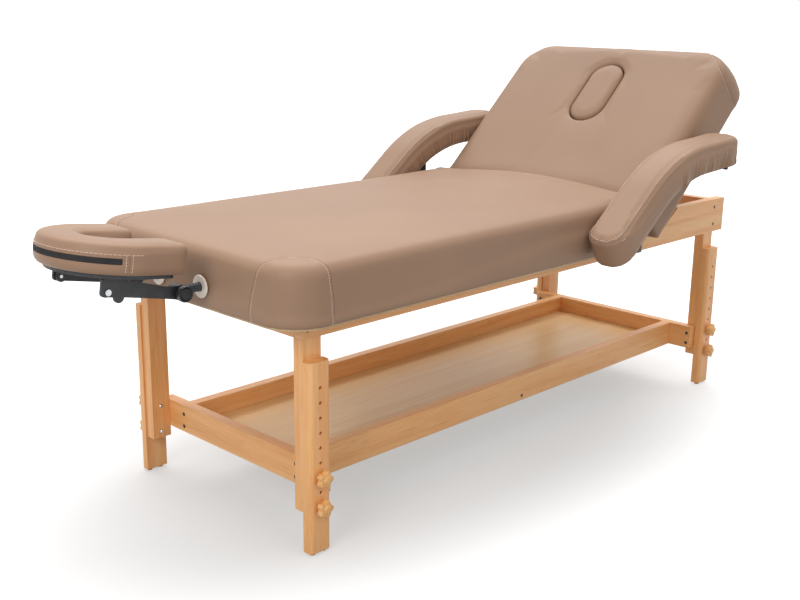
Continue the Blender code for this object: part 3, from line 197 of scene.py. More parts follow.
def makeStock(name, look):
    finish, tree, shader = newFinish(name, look["roughness"], look.get("metallic", 0.0))
    place = addNode(tree, "ShaderNodeTexCoord").outputs["Object"]
    grain = addNode(tree, "ShaderNodeTexNoise",
                    {"Vector": place, "Scale": 1000 / look["grainMm"], "Detail": 2.0})
    patch = addNode(tree, "ShaderNodeTexNoise", {"Vector": place, "Scale": 40.0, "Detail": 3.0})
    band = addNode(tree, "ShaderNodeValToRGB", {"Fac": patch.outputs["Fac"]})
    tree.links.new(ramp(band, (0.4, linear(look["colour"])), (0.7, linear(look["worn"]))),
                   shader.inputs["Base Color"])
    bump = addNode(tree, "ShaderNodeBump", {"Height": grain.outputs["Fac"], "Strength": 0.4,
                                            "Distance": look["bump"]})
    tree.links.new(bump.outputs["Normal"], shader.inputs["Normal"])
    return finish


vinyl = makeVinyl("calenderedVinyl", vinylLook)
beech = {axis: makeWood(f"lacqueredBeech{axis}", beechLook, axis) for axis in "XYZ"}
veneer = makeWood("satinVeneer", veneerLook, "X")
knobWood = makeWood("palePineKnob", knobLook, "Y")
plywood = {axis: makeWood(f"birchPlywood{axis}", plywoodLook, axis) for axis in "XY"}
stock = {name: makeStock(name, look) for name, look in stockLooks.items()}
print("finishes made")

# finishes of the CAD pieces, with the wood's grain along each piece
grainAxis = {"side_rail": "X", "tray_rail": "X", "end_rail": "Y", "shelf_cross": "Y", "outer_post": "Z",
             "inner_post": "Z", "rack": "X", "prop_arm": "X"}
slotFinish = {"veneer": veneer, "knob_wood": knobWood, "board": plywood["X"], "vinyl": vinyl,
              "black_steel": stock["powderCoat"], "bright_steel": stock["zincPlate"],
              "black_plastic": stock["mouldedNylon"], "white_plastic": stock["ivoryPlastic"]}
arris = {"wood": 0.0014, "other": 0.0005}  # edge rounding that a maker's hand gives


def dressNode(name, slot):
    shape = nodes[name]
    finish = slotFinish.get(slot)
    if slot == "beech":
        finish = beech[next(axis for start, axis in grainAxis.items() if name.startswith(start))]
    if name.startswith("armrest_board"):
        finish = stock["darkUnderClothPaintedShade"]  # a dark cloth glued on under the arm; its dark colour also paints the shade beneath the arm's edge
    if name == "backrest_board":
        finish = plywood["Y"]  # its grain runs across the bed, in the plane of the raised board
    shape.data.materials.clear()
    shape.data.materials.append(finish)
    weld = shape.modifiers.new("weld", "WELD")
    weld.merge_threshold = 0.00002
    edge = shape.modifiers.new("arris", "BEVEL")
    edge.width = arris["wood" if slot in ("beech", "knob_wood", "board") else "other"]
    edge.segments = 2
    edge.limit_method = "ANGLE"
    edge.angle_limit = math.radians(40)


for part in frame["record"]["subparts"]:
    dressNode(part["node"], part["material_slot"])
print("CAD pieces dressed")


# building and finishing meshes
def ease(share):  # a soft step from 0 to 1
    share = min(max(share, 0.0), 1.0)
    return share * share * (3 - 2 * share)


def asObject(name, mesh):
    piece = bpy.data.objects.new(name, mesh)
    scene.collection.objects.link(piece)
    return piece


def asMesh(bm, name):
    bmesh.ops.recalc_face_normals(bm, faces=bm.faces)
    mesh = bpy.data.meshes.new(name)
    bm.to_mesh(mesh)
    bm.free()
    return mesh


def settled(piece):  # the piece's mesh as its modifiers make it, with none left
    bpy.context.view_layer.update()
    graph = bpy.context.evaluated_depsgraph_get()
    mesh = bpy.data.meshes.new_from_object(piece.evaluated_get(graph))
    piece.modifiers.clear()
    old = piece.data
    piece.data = mesh
    if old.users == 0:
        bpy.data.meshes.remove(old)
    return piece


def roundedOutline(corners):  # plan outline from (x, y, radius) corners, anticlockwise
    points = []
    count = len(corners)
    for index, (x, y, radius) in enumerate(corners):
        here = Vector((x, y))
        if radius == 0:
            points.append(here)
            continue
        before = (Vector(corners[index - 1][:2]) - here).normalized()
        after = (Vector(corners[(index + 1) % count][:2]) - here).normalized()
        centre = here + (before + after) * radius
        for step in range(13):
            angle = math.pi / 2 * step / 12
            points.append(centre - after * radius * math.cos(angle) - before * radius * math.sin(angle))
    return points


def slab(outline, low, high):  # a prism over an outline
    bm = bmesh.new()
    base = bm.faces.new([bm.verts.new((x, y, low)) for x, y in outline])
    made = bmesh.ops.extrude_face_region(bm, geom=[base])["geom"]
    raised = [item for item in made if isinstance(item, bmesh.types.BMVert)]
    bmesh.ops.translate(bm, vec=(0, 0, high - low), verts=raised)
    return bm


def roundTop(bm, high, edge, segments=6):  # rolls the upper rim
    rim = [item for item in bm.edges if all(abs(vert.co.z - high) < 1e-6 for vert in item.verts)]
    bmesh.ops.bevel(bm, geom=rim, offset=edge, segments=segments, profile=0.5, affect="EDGES", material=-1)


def remesh(piece, size):
    change = piece.modifiers.new("voxels", "REMESH")
    change.mode = "VOXEL"
    change.voxel_size = size
    return settled(piece)


def inflate(piece, held, look):  # foam swells under the cover; held says which points stay
    start = [vert.co.copy() for vert in piece.data.vertices]
    group = piece.vertex_groups.new(name="held")
    group.add([vert.index for vert in piece.data.vertices if held(vert.co)], 1.0, "REPLACE")
    cloth = piece.modifiers.new("foam", "CLOTH")
    cloth.settings.quality = 4
    cloth.settings.use_pressure = True
    cloth.settings.uniform_pressure_force = look["pressure"]
    cloth.settings.vertex_group_mass = "held"
    cloth.settings.effector_weights.gravity = 0
    cloth.collision_settings.use_collision = False
    for number in range(1, 21):
        scene.frame_set(number)
    settled(piece)
    for vert, old in zip(piece.data.vertices, start):
        shift = vert.co - old
        if shift.length > look["cap"]:
            vert.co = old + shift * (look["cap"] / shift.length)
    piece.vertex_groups.clear()
    scene.frame_set(1)


def refine(piece):  # one smooth subdivision, so that small folds can show
    change = piece.modifiers.new("finer", "SUBSURF")
    change.levels = change.render_levels = 1
    return settled(piece)


def relax(piece, turns):  # evens out the remesh
    bm = bmesh.new()
    bm.from_mesh(piece.data)
    for _ in range(turns):
        bmesh.ops.smooth_vert(bm, verts=bm.verts, factor=0.5, use_axis_x=True, use_axis_y=True,
                              use_axis_z=True)
    bm.to_mesh(piece.data)
    bm.free()


def finishPiece(piece, finish, body, smooth=True):
    piece.data.materials.clear()
    piece.data.materials.append(finish)
    if smooth:
        piece.data.shade_smooth()
    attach(piece, body)
    return piece


# seams: a folded line let into the cover, coloured darker as painted shade in its crease, and a row of
# stitches beside it
seamLook = {"radius": 0.0009, "sink": 0.0004, "grooveWidth": 0.005, "beside": 0.0065,
            "stitch": 0.0046, "pitch": 0.0062, "threadRadius": 0.00075}


def smoothPath(points, step=0.003):  # evenly spaced points on a smooth line through a few
    points = [Vector(point) for point in points]
    line = []
    for index in range(len(points) - 1):
        before = points[max(index - 1, 0)]
        here, after = points[index], points[index + 1]
        beyond = points[min(index + 2, len(points) - 1)]
        count = max(2, round((after - here).length / step))
        for number in range(count):
            share = number / count
            line.append(0.5 * (2 * here + (after - before) * share
                               + (2 * before - 5 * here + 4 * after - beyond) * share ** 2
                               + (3 * here - before - 3 * after + beyond) * share ** 3))
    return line + [points[-1]]


def tube(name, lines, radius, sides=6):  # thin round lines as one mesh
    curve = bpy.data.curves.new(name, "CURVE")
    curve.dimensions = "3D"
    curve.bevel_depth = radius
    curve.bevel_resolution = max(0, sides // 2 - 2)
    curve.use_fill_caps = True
    for line in lines:
        spline = curve.splines.new("POLY")
        spline.points.add(len(line) - 1)
        for point, place in zip(spline.points, line):
            point.co = (*place, 1)
    holder = bpy.data.objects.new(name, curve)
    scene.collection.objects.link(holder)
    bpy.context.view_layer.update()
    mesh = bpy.data.meshes.new_from_object(holder.evaluated_get(bpy.context.evaluated_depsgraph_get()))
    bpy.data.objects.remove(holder)
    return asObject(name, mesh)


def skinOf(piece):
    bm = bmesh.new()
    bm.from_mesh(piece.data)
    tree = BVHTree.FromBMesh(bm)
    bm.free()
    return tree


def taper(index, count):  # seams run out softly at their ends
    return ease(min(index, count - 1 - index) / min(12, count / 4))


def groove(piece, lines, depth):  # lets seam lines into the cover
    places = [(place, taper(index, len(line))) for line in lines for index, place in enumerate(line)]
    tree = KDTree(len(places))
    for index, (place, _) in enumerate(places):
        tree.insert(place, index)
    tree.balance()
    width = seamLook["grooveWidth"]
    piece.data.update()
    for vert, normal in [(vert, vert.normal.copy()) for vert in piece.data.vertices]:
        _, index, away = tree.find(vert.co)
        if away < 3 * width:
            vert.co -= normal * depth * places[index][1] * math.exp(-(away / width) ** 2)


def laidOn(tree, path, lift=0.0):
    found = [tree.find_nearest(place) for place in path]
    return [place + normal * lift for place, normal, _, _ in found]


def stitchLines(tree, path, beside):  # short dashes beside a path on a cover
    dashes = []
    travelled, due = 0.0, seamLook["pitch"] / 2
    for index in range(1, len(path)):
        before, here = path[index - 1], path[index]
        span = (here - before).length
        while span > 0 and travelled + span >= due:
            tangent = (here - before) / span
            centre = before + tangent * (due - travelled)
            normal = tree.find_nearest(centre)[1]
            centre = centre + tangent.cross(normal).normalized() * beside
            half = tangent * seamLook["stitch"] / 2
            dash = laidOn(tree, [centre - half, centre, centre + half], seamLook["threadRadius"] * 0.3)
            dashes.append(dash)
            due += seamLook["pitch"]
        travelled += span
    return dashes


def sew(cover, body, paths, name, besides=(1,), depth=0.0011):  # seams on paths, stitches on the given sides
    tree = skinOf(cover)
    lines = [laidOn(tree, path) for path in paths]
    groove(cover, lines, depth)
    tree = skinOf(cover)
    folds = []
    for line in lines:
        sunk = [seamLook["sink"] + seamLook["radius"] * (1 - taper(index, len(line)))
                for index in range(len(line))]
        folds.append([laidOn(tree, [place], -sink)[0] for place, sink in zip(line, sunk)])
    finishPiece(tube(f"{name}_seam", folds, seamLook["radius"]), stock["seamFoldPaintedShade"], body)
    dashes = [dash for line in lines for side in besides
              for dash in stitchLines(tree, line, side * seamLook["beside"])]
    thread = tube(f"{name}_stitches", dashes, seamLook["threadRadius"])
    finishPiece(thread, stock["stitchThread"], body)


# mattress: foam block wrapped in vinyl down over its base board, with a sewn patch on each foot corner
mattress = {"top": 0.670, "edge": 0.032, "seamEdge": 0.006, "footCorner": 0.090, "wrap": 0.0146,
            "voxel": 0.008, "pressure": 3.0, "cap": 0.003, "shrink": 0.0015, "held": 0.02, "endRun": 0.03,
            "crest": 0.021, "crestRun": 0.35, "lip": 0.003, "lipDrop": 0.030, "lipRise": 0.016,
            "lipSide": 0.372, "lipFade": 0.06, "bore": 0.0138, "boreDepth": 0.46, "pegBore": 0.0054,
            "pegDepth": 0.12, "pegs": (1.000 - originX, 1.110 - originX), "pegHeight": 0.5378}


def squareEnd(cover, low, right, top):  # trues the edge beside the backrest after the remesh
    edge = mattress["seamEdge"]
    cover.data.update()
    for vert, normal in [(vert, vert.normal.copy()) for vert in cover.data.vertices]:
        place = vert.co
        if place.x < right - mattress["endRun"] or place.z < low + mattress["held"]:
            continue
        if abs(normal.y) < 0.7:
            out, up = place.x - right + edge, place.z - top + edge
            if out > 0 and up > 0:
                reach = math.hypot(out, up)
                place.x, place.z = right - edge + out / reach * edge, top - edge + up / reach * edge
            elif out > 0:
                place.x = right
            elif normal.z > 0.5:
                place.z = top


def crestAt(x, y, end):  # the mattress swells towards the middle of its end at the backrest
    rise = min(max(1 - (end - x) / mattress["crestRun"], 0.0), 1.0)
    across = max(1 - (y / 0.38) ** 2, 0.0) ** 2
    return mattress["crest"] * across * rise * rise * (3 - 2 * rise)


def lipLean(place, right, top):  # the end's upper edge leans a little towards the backrest
    lean = min(max((place.z - top + mattress["lipDrop"]) / mattress["lipRise"], 0.0), 1.0)
    lean *= min(max((place.x - right + mattress["endRun"]) / mattress["endRun"], 0.0), 1.0)
    return mattress["lip"] * (lean * ease((mattress["lipSide"] - abs(place.y)) / mattress["lipFade"]))


def buildMattress():
    low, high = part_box("mattress")
    low = low - Vector((0, 0, mattress["wrap"]))
    inset = mattress["shrink"]
    corner = mattress["footCorner"]
    left, right, side, top = low.x + inset, high.x, high.y - inset, mattress["top"] - inset
    outline = roundedOutline([(left, -side, corner), (right, -side, 0), (right, side, 0),
                              (left, side, corner)])
    bm = slab(outline, low.z, top)
    weights = bm.edges.layers.float.new("bevel_weight_edge")
    for edge in bm.edges:
        if all(vert.co.z > low.z + 0.01 for vert in edge.verts):
            atEnd = all(abs(vert.co.x - right) < 1e-6 for vert in edge.verts)
            edge[weights] = mattress["seamEdge"] / mattress["edge"] if atEnd else 1.0
    cover = asObject("mattress_cover", asMesh(bm, "mattress_cover"))
    roll = cover.modifiers.new("roll", "BEVEL")
    roll.width, roll.segments, roll.limit_method = mattress["edge"], 7, "WEIGHT"
    settled(cover)
    remesh(cover, mattress["voxel"])
    relax(cover, 2)
    inflate(cover, lambda place: (place.z < low.z + mattress["held"]
                                  or place.x > right - mattress["endRun"]), mattress)
    relax(cover, 1)
    squareEnd(cover, low.z, right, top)
    for vert in cover.data.vertices:
        x, y, z = vert.co
        share = min(max((z - low.z) / (top - low.z), 0.0), 1.0)
        vert.co = (x + lipLean(vert.co, right, top), y, z + crestAt(x, y, right) * share)
    bores = bmesh.new()
    for name in ("grommet_near", "grommet_far"):
        grommetLow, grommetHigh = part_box(name)
        middle = (grommetLow + grommetHigh) / 2
        place = Matrix.Translation((left, middle.y, middle.z)) @ Matrix.Rotation(math.pi / 2, 4, "Y")
        bmesh.ops.create_cone(bores, cap_ends=True, segments=24, radius1=mattress["bore"],
                              radius2=mattress["bore"], depth=mattress["boreDepth"], matrix=place)
        for x in mattress["pegs"]:
            place = Matrix.Translation((x, math.copysign(side, middle.y), mattress["pegHeight"]))
            bmesh.ops.create_cone(bores, cap_ends=True, segments=16, radius1=mattress["pegBore"],
                                  radius2=mattress["pegBore"], depth=mattress["pegDepth"],
                                  matrix=place @ Matrix.Rotation(math.pi / 2, 4, "X"))
    tool = asObject("rod_bores", asMesh(bores, "rod_bores"))
    cut = cover.modifiers.new("bores", "BOOLEAN")
    cut.object, cut.operation, cut.solver = tool, "DIFFERENCE", "EXACT"
    settled(cover)
    bpy.data.objects.remove(tool)
    for side, sign in (("near", -1), ("far", 1)):
        points = [(left, -0.242, low.z), (left, -0.243, low.z + 0.05), (left, -0.256, low.z + 0.090),
                  (left + 0.012, -0.270, top), (left + 0.035, -0.283, top), (left + 0.072, -0.294, top),
                  (left + 0.094, -0.330, top), (left + 0.104, -0.366, top),
                  (left + 0.110, -0.380, low.z + 0.095), (left + 0.116, -0.380, low.z + 0.05),
                  (left + 0.117, -0.380, low.z)]  # up the end, over the corner and down the side
        path = smoothPath([(x, -sign * y, z) for x, y, z in points])
        sew(cover, "frame", [path], f"mattress_corner_{side}", (-sign,))
    finishPiece(cover, vinyl, "frame")
    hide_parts("mattress")
    print("mattress:", len(cover.data.polygons), "faces")


buildMattress()


# backrest: pad, board and border under one wrapped cover; s runs up the backrest and t out of its face
backrest = {"turn": 42.5, "axis": (1.200 - originX, 0.0, 0.636), "lip": -0.032, "end": 0.588,
            "half": 0.378, "face": 0.034, "padBottom": -0.0324, "hem": -0.112, "corner": 0.112,
            "edge": 0.035, "wall": 0.037, "inside": 0.3107, "skirtFrom": 0.004, "holeCentre": 0.378,
            "holeLength": 0.236, "holeWidth": 0.119, "voxel": 0.0055, "pressure": 3.0, "cap": 0.003,
            "shrink": 0.0015, "heldRim": 0.018, "rimReach": 0.09, "heldLip": 0.035, "flare": 0.012,
            "lipSwell": 0.002}
backrestTurn = Matrix.Rotation(-math.radians(backrest["turn"]), 4, "Y")
backrestPlace = Matrix.Translation(backrest["axis"]) @ backrestTurn


def slotOutline(length, width, centre=0.0, steps=12):
    radius, reach = width / 2, (length - width) / 2
    points = []
    for side, start in ((1, -90), (-1, 90)):
        for step in range(steps + 1):
            angle = math.radians(start + 180 * step / steps)
            points.append((centre + side * reach + radius * math.cos(angle), radius * math.sin(angle)))
    return points


def joined(name, *meshes):
    bm = bmesh.new()
    for mesh in meshes:
        bm.from_mesh(mesh)
    made = bpy.data.meshes.new(name)
    bm.to_mesh(made)
    bm.free()
    return made


def buildBackrest():
    inset = backrest["shrink"]
    start, end, half = backrest["lip"] + inset, backrest["end"] - inset, backrest["half"] - inset
    corner, top = backrest["corner"], backrest["face"] - inset
    outline = roundedOutline([(start, -half, 0), (end, -half, corner), (end, half, corner), (start, half, 0)])
    pad = slab(outline, backrest["padBottom"], top)
    roundTop(pad, top, backrest["edge"])
    reach, inner = end - backrest["wall"], backrest["inside"]
    border = [(x, y) for x, y in outline if x > start + 1e-4]
    first = start + backrest["skirtFrom"]
    ring = [(first, -half), *border, (first, half), (first, inner), (reach, inner), (reach, -inner),
            (first, -inner)]
    skirt = slab(ring, backrest["hem"], backrest["padBottom"] + backrest["skirtFrom"])
    cover = asObject("backrest_cover", joined("backrest_cover", asMesh(pad, "pad"), asMesh(skirt, "skirt")))
    remesh(cover, backrest["voxel"])
    hole = slab(slotOutline(backrest["holeLength"], backrest["holeWidth"], backrest["holeCentre"]), -0.2, 0.1)
    tool = asObject("breath_hole", asMesh(hole, "breath_hole"))
    cut = cover.modifiers.new("hole", "BOOLEAN")
    cut.object, cut.operation, cut.solver = tool, "DIFFERENCE", "EXACT"
    settled(cover)
    bpy.data.objects.remove(tool)
    remesh(cover, backrest["voxel"])
    relax(cover, 3)
    rim = [Vector((x, y)) for x, y in slotOutline(backrest["holeLength"], backrest["holeWidth"],
                                                  backrest["holeCentre"], 24)]

    def held(place):
        if place.z < backrest["padBottom"] + 0.01 or place.x < start + backrest["heldLip"]:
            return True
        nearHole = abs(place.y) < backrest["rimReach"]
        return nearHole and min((place.xy - point).length for point in rim) < backrest["heldRim"]

    inflate(cover, held, backrest)
    relax(cover, 2)
    low = backrest["hem"]
    centre = Vector((end - corner, half - corner))
    for vert in cover.data.vertices:
        along, across, height = vert.co
        out = Vector((along - centre.x, abs(across) - centre.y))
        if out.x > 0 and out.y > 0 and out.length > corner * 0.5:  # the hem has squarer corners
            share = min(max((0.02 - height) / 0.08, 0.0), 1.0) * 2 * out.x * out.y / out.length_squared
            out *= 1 + backrest["flare"] * share / corner
            vert.co.x, vert.co.y = centre.x + out.x, math.copysign(centre.y + out.y, across)
        if height > 0.02:
            swell = backrest["lipSwell"] * math.exp(-((along - 0.03) / 0.05) ** 2)
            vert.co.z += swell * (1 - (across / 0.38) ** 2)
    for side, sign in (("near", -1), ("far", 1)):
        points = []
        for angle, out, height in ((86, 1.0, low), (84, 1.0, -0.04), (80, 1.0, 0.004), (72, 0.95, 0.022),
                                   (58, 0.90, 0.032), (32, 0.90, 0.032), (18, 0.95, 0.022), (10, 1.0, 0.004),
                                   (6, 1.0, -0.04), (4, 1.0, low)):
            turn = math.radians(angle)
            points.append((centre.x + corner * out * math.cos(turn),
                           sign * (centre.y + corner * out * math.sin(turn)), height))
        sew(cover, "backrest", [smoothPath(points)], f"backrest_corner_{side}", (sign,))
    sewn = [bpy.data.objects[f"backrest_corner_{side}_{kind}"] for side in ("near", "far")
            for kind in ("seam", "stitches")]
    for piece in (cover, *sewn):
        piece.data.transform(backrestPlace)
    finishPiece(cover, vinyl, "backrest")
    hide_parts("backrest_pad", "backrest_skirt")
    print("backrest:", len(cover.data.polygons), "faces")


buildBackrest()

# breath plug: small firm pad with a rolled edge, a little below the backrest's face
plug = {"length": 0.232, "width": 0.115, "top": 0.0365, "edge": 0.011, "voxel": 0.004, "pressure": 4.0,
        "cap": 0.002, "shrink": 0.0008, "clear": 0.0005, "heldBelow": 0.012}


def buildPlug():
    inset = plug["shrink"]
    outline = slotOutline(plug["length"] - 2 * inset, plug["width"] - 2 * inset, backrest["holeCentre"])
    low, high = backrest["padBottom"] + plug["clear"], plug["top"] - inset
    bm = slab(outline, low, high)
    roundTop(bm, high, plug["edge"], 5)
    cover = asObject("breath_plug_cover", asMesh(bm, "breath_plug_cover"))
    remesh(cover, plug["voxel"])
    relax(cover, 2)
    inflate(cover, lambda place: place.z < high - plug["heldBelow"], plug)
    relax(cover, 1)
    cover.data.transform(backrestPlace)
    finishPiece(cover, vinyl, "breath_plug")
    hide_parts("breath_plug")
    print("plug:", len(cover.data.polygons), "faces")


buildPlug()

# armrests: a straight pad bent along the arm, boxed side sewn to the top panel, cover gathered under the bend
armrest = {"tip": (0.888 - originX, 0.5608), "width": 0.116, "half": 0.0415, "front": 0.202,
           "slope": 38.0, "bend": 0.425, "level": 3.0, "rear": 0.190, "corner": 0.050, "edge": 0.012,
           "rearEdge": 0.022, "voxel": 0.004, "pressure": 4.0, "cap": 0.003, "shrink": 0.0015,
           "boardGap": 0.0016, "held": 0.012, "middleY": 0.441, "gatherMm": 17, "gatherDepth": 0.0062,
           "gatherInner": 0.06, "gatherOuter": 0.05, "puckerMm": 7, "puckerDepth": 0.0011,
           "tipSag": 0.007, "seamEdge": 0.004, "seamDrop": 0.002, "seamEnd": 0.36, "seamDepth": 0.0018}
armTurn = math.radians(armrest["slope"] - armrest["level"])
armLength = armrest["front"] + armrest["bend"] * armTurn + armrest["rear"]


def armPlace(along, across, height):  # a point along the bent arm from its tip
    slope, level = math.radians(armrest["slope"]), math.radians(armrest["level"])
    front = min(along, armrest["front"])
    bent = min(max(along - armrest["front"], 0.0), armrest["bend"] * armTurn)
    rear = max(along - armrest["front"] - armrest["bend"] * armTurn, 0.0)
    angle = slope - bent / armrest["bend"]
    x = (front * math.cos(slope) + armrest["bend"] * (math.sin(slope) - math.sin(angle))
         + rear * math.cos(level) - height * math.sin(angle))
    z = (front * math.sin(slope) + armrest["bend"] * (math.cos(angle) - math.cos(slope))
         + rear * math.sin(level) + height * math.cos(angle))
    return Vector((armrest["tip"][0] + x, across, armrest["tip"][1] + z))


def armRim(place):  # how far a point is inside the arm's plan outline, and the way out
    half, corner = armrest["width"] / 2 - armrest["shrink"], armrest["corner"]
    across = min(max(place.y, corner - half), half - corner)
    out = Vector((place.x - min(max(place.x, corner), armLength - corner), place.y - across))
    return corner - out.length, out.normalized()


def rollRear(place, high):  # the cover's edge is crisp at the tip and rolls over softly at the rear
    radius = armrest["edge"] + (armrest["rearEdge"] - armrest["edge"]) * ease((place.x - 0.22) / 0.20)
    inside, way = armRim(place)
    out, up = radius - inside, place.z - high + radius
    reach = math.hypot(out, up)
    if out > 0 and up > 0 and reach > radius:
        share = radius / reach
        place.xy -= way * out * (1 - share)
        place.z = high - radius + up * share


def gatherShape(along, height, start):  # pleats where the cover is drawn in under the arm
    amount = ease((along - start) / 0.10)
    low = ease((0.018 - height) / 0.050)
    drift = along + 0.006 * math.sin(along * 47) + 0.004 * math.sin(along * 131 + 1)
    wave = math.sin(2 * math.pi * drift * 1000 / armrest["gatherMm"] + height * 45 * math.sin(along * 29))
    return armrest["gatherDepth"] * amount * low * (0.5 * wave - 0.5) * (0.65 + 0.35 * math.sin(along * 83))


def puckerShape(along, across, rimAway):  # small tucks of the top panel round its tip
    amount = ease(1 - (along - 0.03) / 0.05) * ease(1.2 - rimAway / 0.022)
    turn = math.atan2(across, 0.058 - along)
    return armrest["puckerDepth"] * amount * math.sin(turn * 55 * 2 * math.pi / armrest["puckerMm"])


def buildArmrest(side, sign):
    inset = armrest["shrink"]
    half, corner = armrest["width"] / 2 - inset, armrest["corner"]
    low, high = -armrest["half"] + armrest["boardGap"], armrest["half"] - inset
    outline = roundedOutline([(inset, -half, corner), (armLength - inset, -half, corner),
                              (armLength - inset, half, corner), (inset, half, corner)])
    bm = slab(outline, low, high)
    roundTop(bm, high, armrest["edge"], 5)
    cover = asObject(f"armrest_cover_{side}", asMesh(bm, f"armrest_cover_{side}"))
    remesh(cover, armrest["voxel"])
    relax(cover, 2)
    inflate(cover, lambda place: place.z < low + armrest["held"], armrest)
    relax(cover, 1)
    for vert in cover.data.vertices:
        rollRear(vert.co, high)
        sag = armrest["tipSag"] * ease(0.5 - vert.co.z / 0.06) * math.exp(-(vert.co.x / 0.06) ** 2)
        vert.co.x -= sag
        vert.co.z -= sag / 2
    refine(cover)
    cover.data.update()
    for vert, normal in [(vert, vert.normal.copy()) for vert in cover.data.vertices]:
        if abs(normal.z) < 0.8:
            start = armrest["front"] + armrest["gatherOuter"]
            if vert.co.y * sign < 0:  # sooner on the side at the bed
                start = armrest["gatherInner"]
            vert.co += Vector((normal.x, normal.y, 0)) * gatherShape(vert.co.x, vert.co.z, start)
        elif normal.z > 0.8:
            vert.co.z += puckerShape(vert.co.x, vert.co.y, armRim(vert.co)[0])
    seamEdge, end = armrest["seamEdge"], armrest["seamEnd"]
    first, reach, radius = inset + seamEdge, half - seamEdge, corner - seamEdge
    rim = roundedOutline([(end, reach, 0), (first, reach, radius), (first, -reach, radius), (end, -reach, 0)])
    path = smoothPath([(*point, high - armrest["seamDrop"]) for point in rim])
    sew(cover, f"armrest_{side}", [path], f"armrest_{side}", (-1.1,), armrest["seamDepth"])
    sewn = [bpy.data.objects[f"armrest_{side}_{kind}"] for kind in ("seam", "stitches")]
    for piece in (cover, *sewn):
        for vert in piece.data.vertices:
            along, across, height = vert.co
            vert.co = armPlace(along, sign * armrest["middleY"] + across, height)
        piece.data.update()
    finishPiece(cover, vinyl, f"armrest_{side}")
    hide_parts(f"armrest_pad_{side}")
    print(f"armrest {side}:", len(cover.data.polygons), "faces")


buildArmrest("near", -1)
buildArmrest("far", 1)

# face cradle: horseshoe cushion with a boxed side, a zip round the front and sewn end panels
cradle = {"pivot": (-0.150 - originX, 0.0, 0.5803), "arm": 0.174, "raise": 10.2, "level": 2.5,
          "bottom": 0.0386, "depth": 0.067, "centre": 0.057, "radius": 0.150, "limb": 0.095,
          "limbEnd": 0.154, "corner": 0.014, "edge": 0.013, "floorEdge": 0.012, "voxel": 0.004,
          "pressure": 1.5, "cap": 0.0015, "shrink": 0.0018, "held": 0.010, "zipAt": 0.030, "zipHalf": 0.0062,
          "zipGap": 0.010, "zipProud": 0.0005, "zipThick": 0.0012, "panelAt": 0.126, "seamFrom": 0.006,
          "rowDrop": 0.022, "rowPast": 0.02}
cradlePlace = (Matrix.Translation(cradle["pivot"]) @ Matrix.Rotation(math.radians(cradle["raise"]), 4, "Y")
               @ Matrix.Translation((-cradle["arm"], 0, 0))
               @ Matrix.Rotation(-math.radians(cradle["level"]), 4, "Y"))
limbLine = cradle["radius"] - cradle["limb"] / 2
limbStraight = cradle["limbEnd"] - cradle["centre"]
limbLength = 2 * limbStraight + math.pi * limbLine


def horseshoe(along, across, height):  # a straight pad laid round the horseshoe from the near limb's end
    if along < limbStraight:
        return Vector((cradle["limbEnd"] - along, -limbLine - across, height))
    if along > limbLength - limbStraight:
        return Vector((cradle["limbEnd"] - limbLength + along, limbLine + across, height))
    angle = -math.pi / 2 - (along - limbStraight) / limbLine
    reach = limbLine + across
    return Vector((cradle["centre"] + reach * math.cos(angle), reach * math.sin(angle), height))


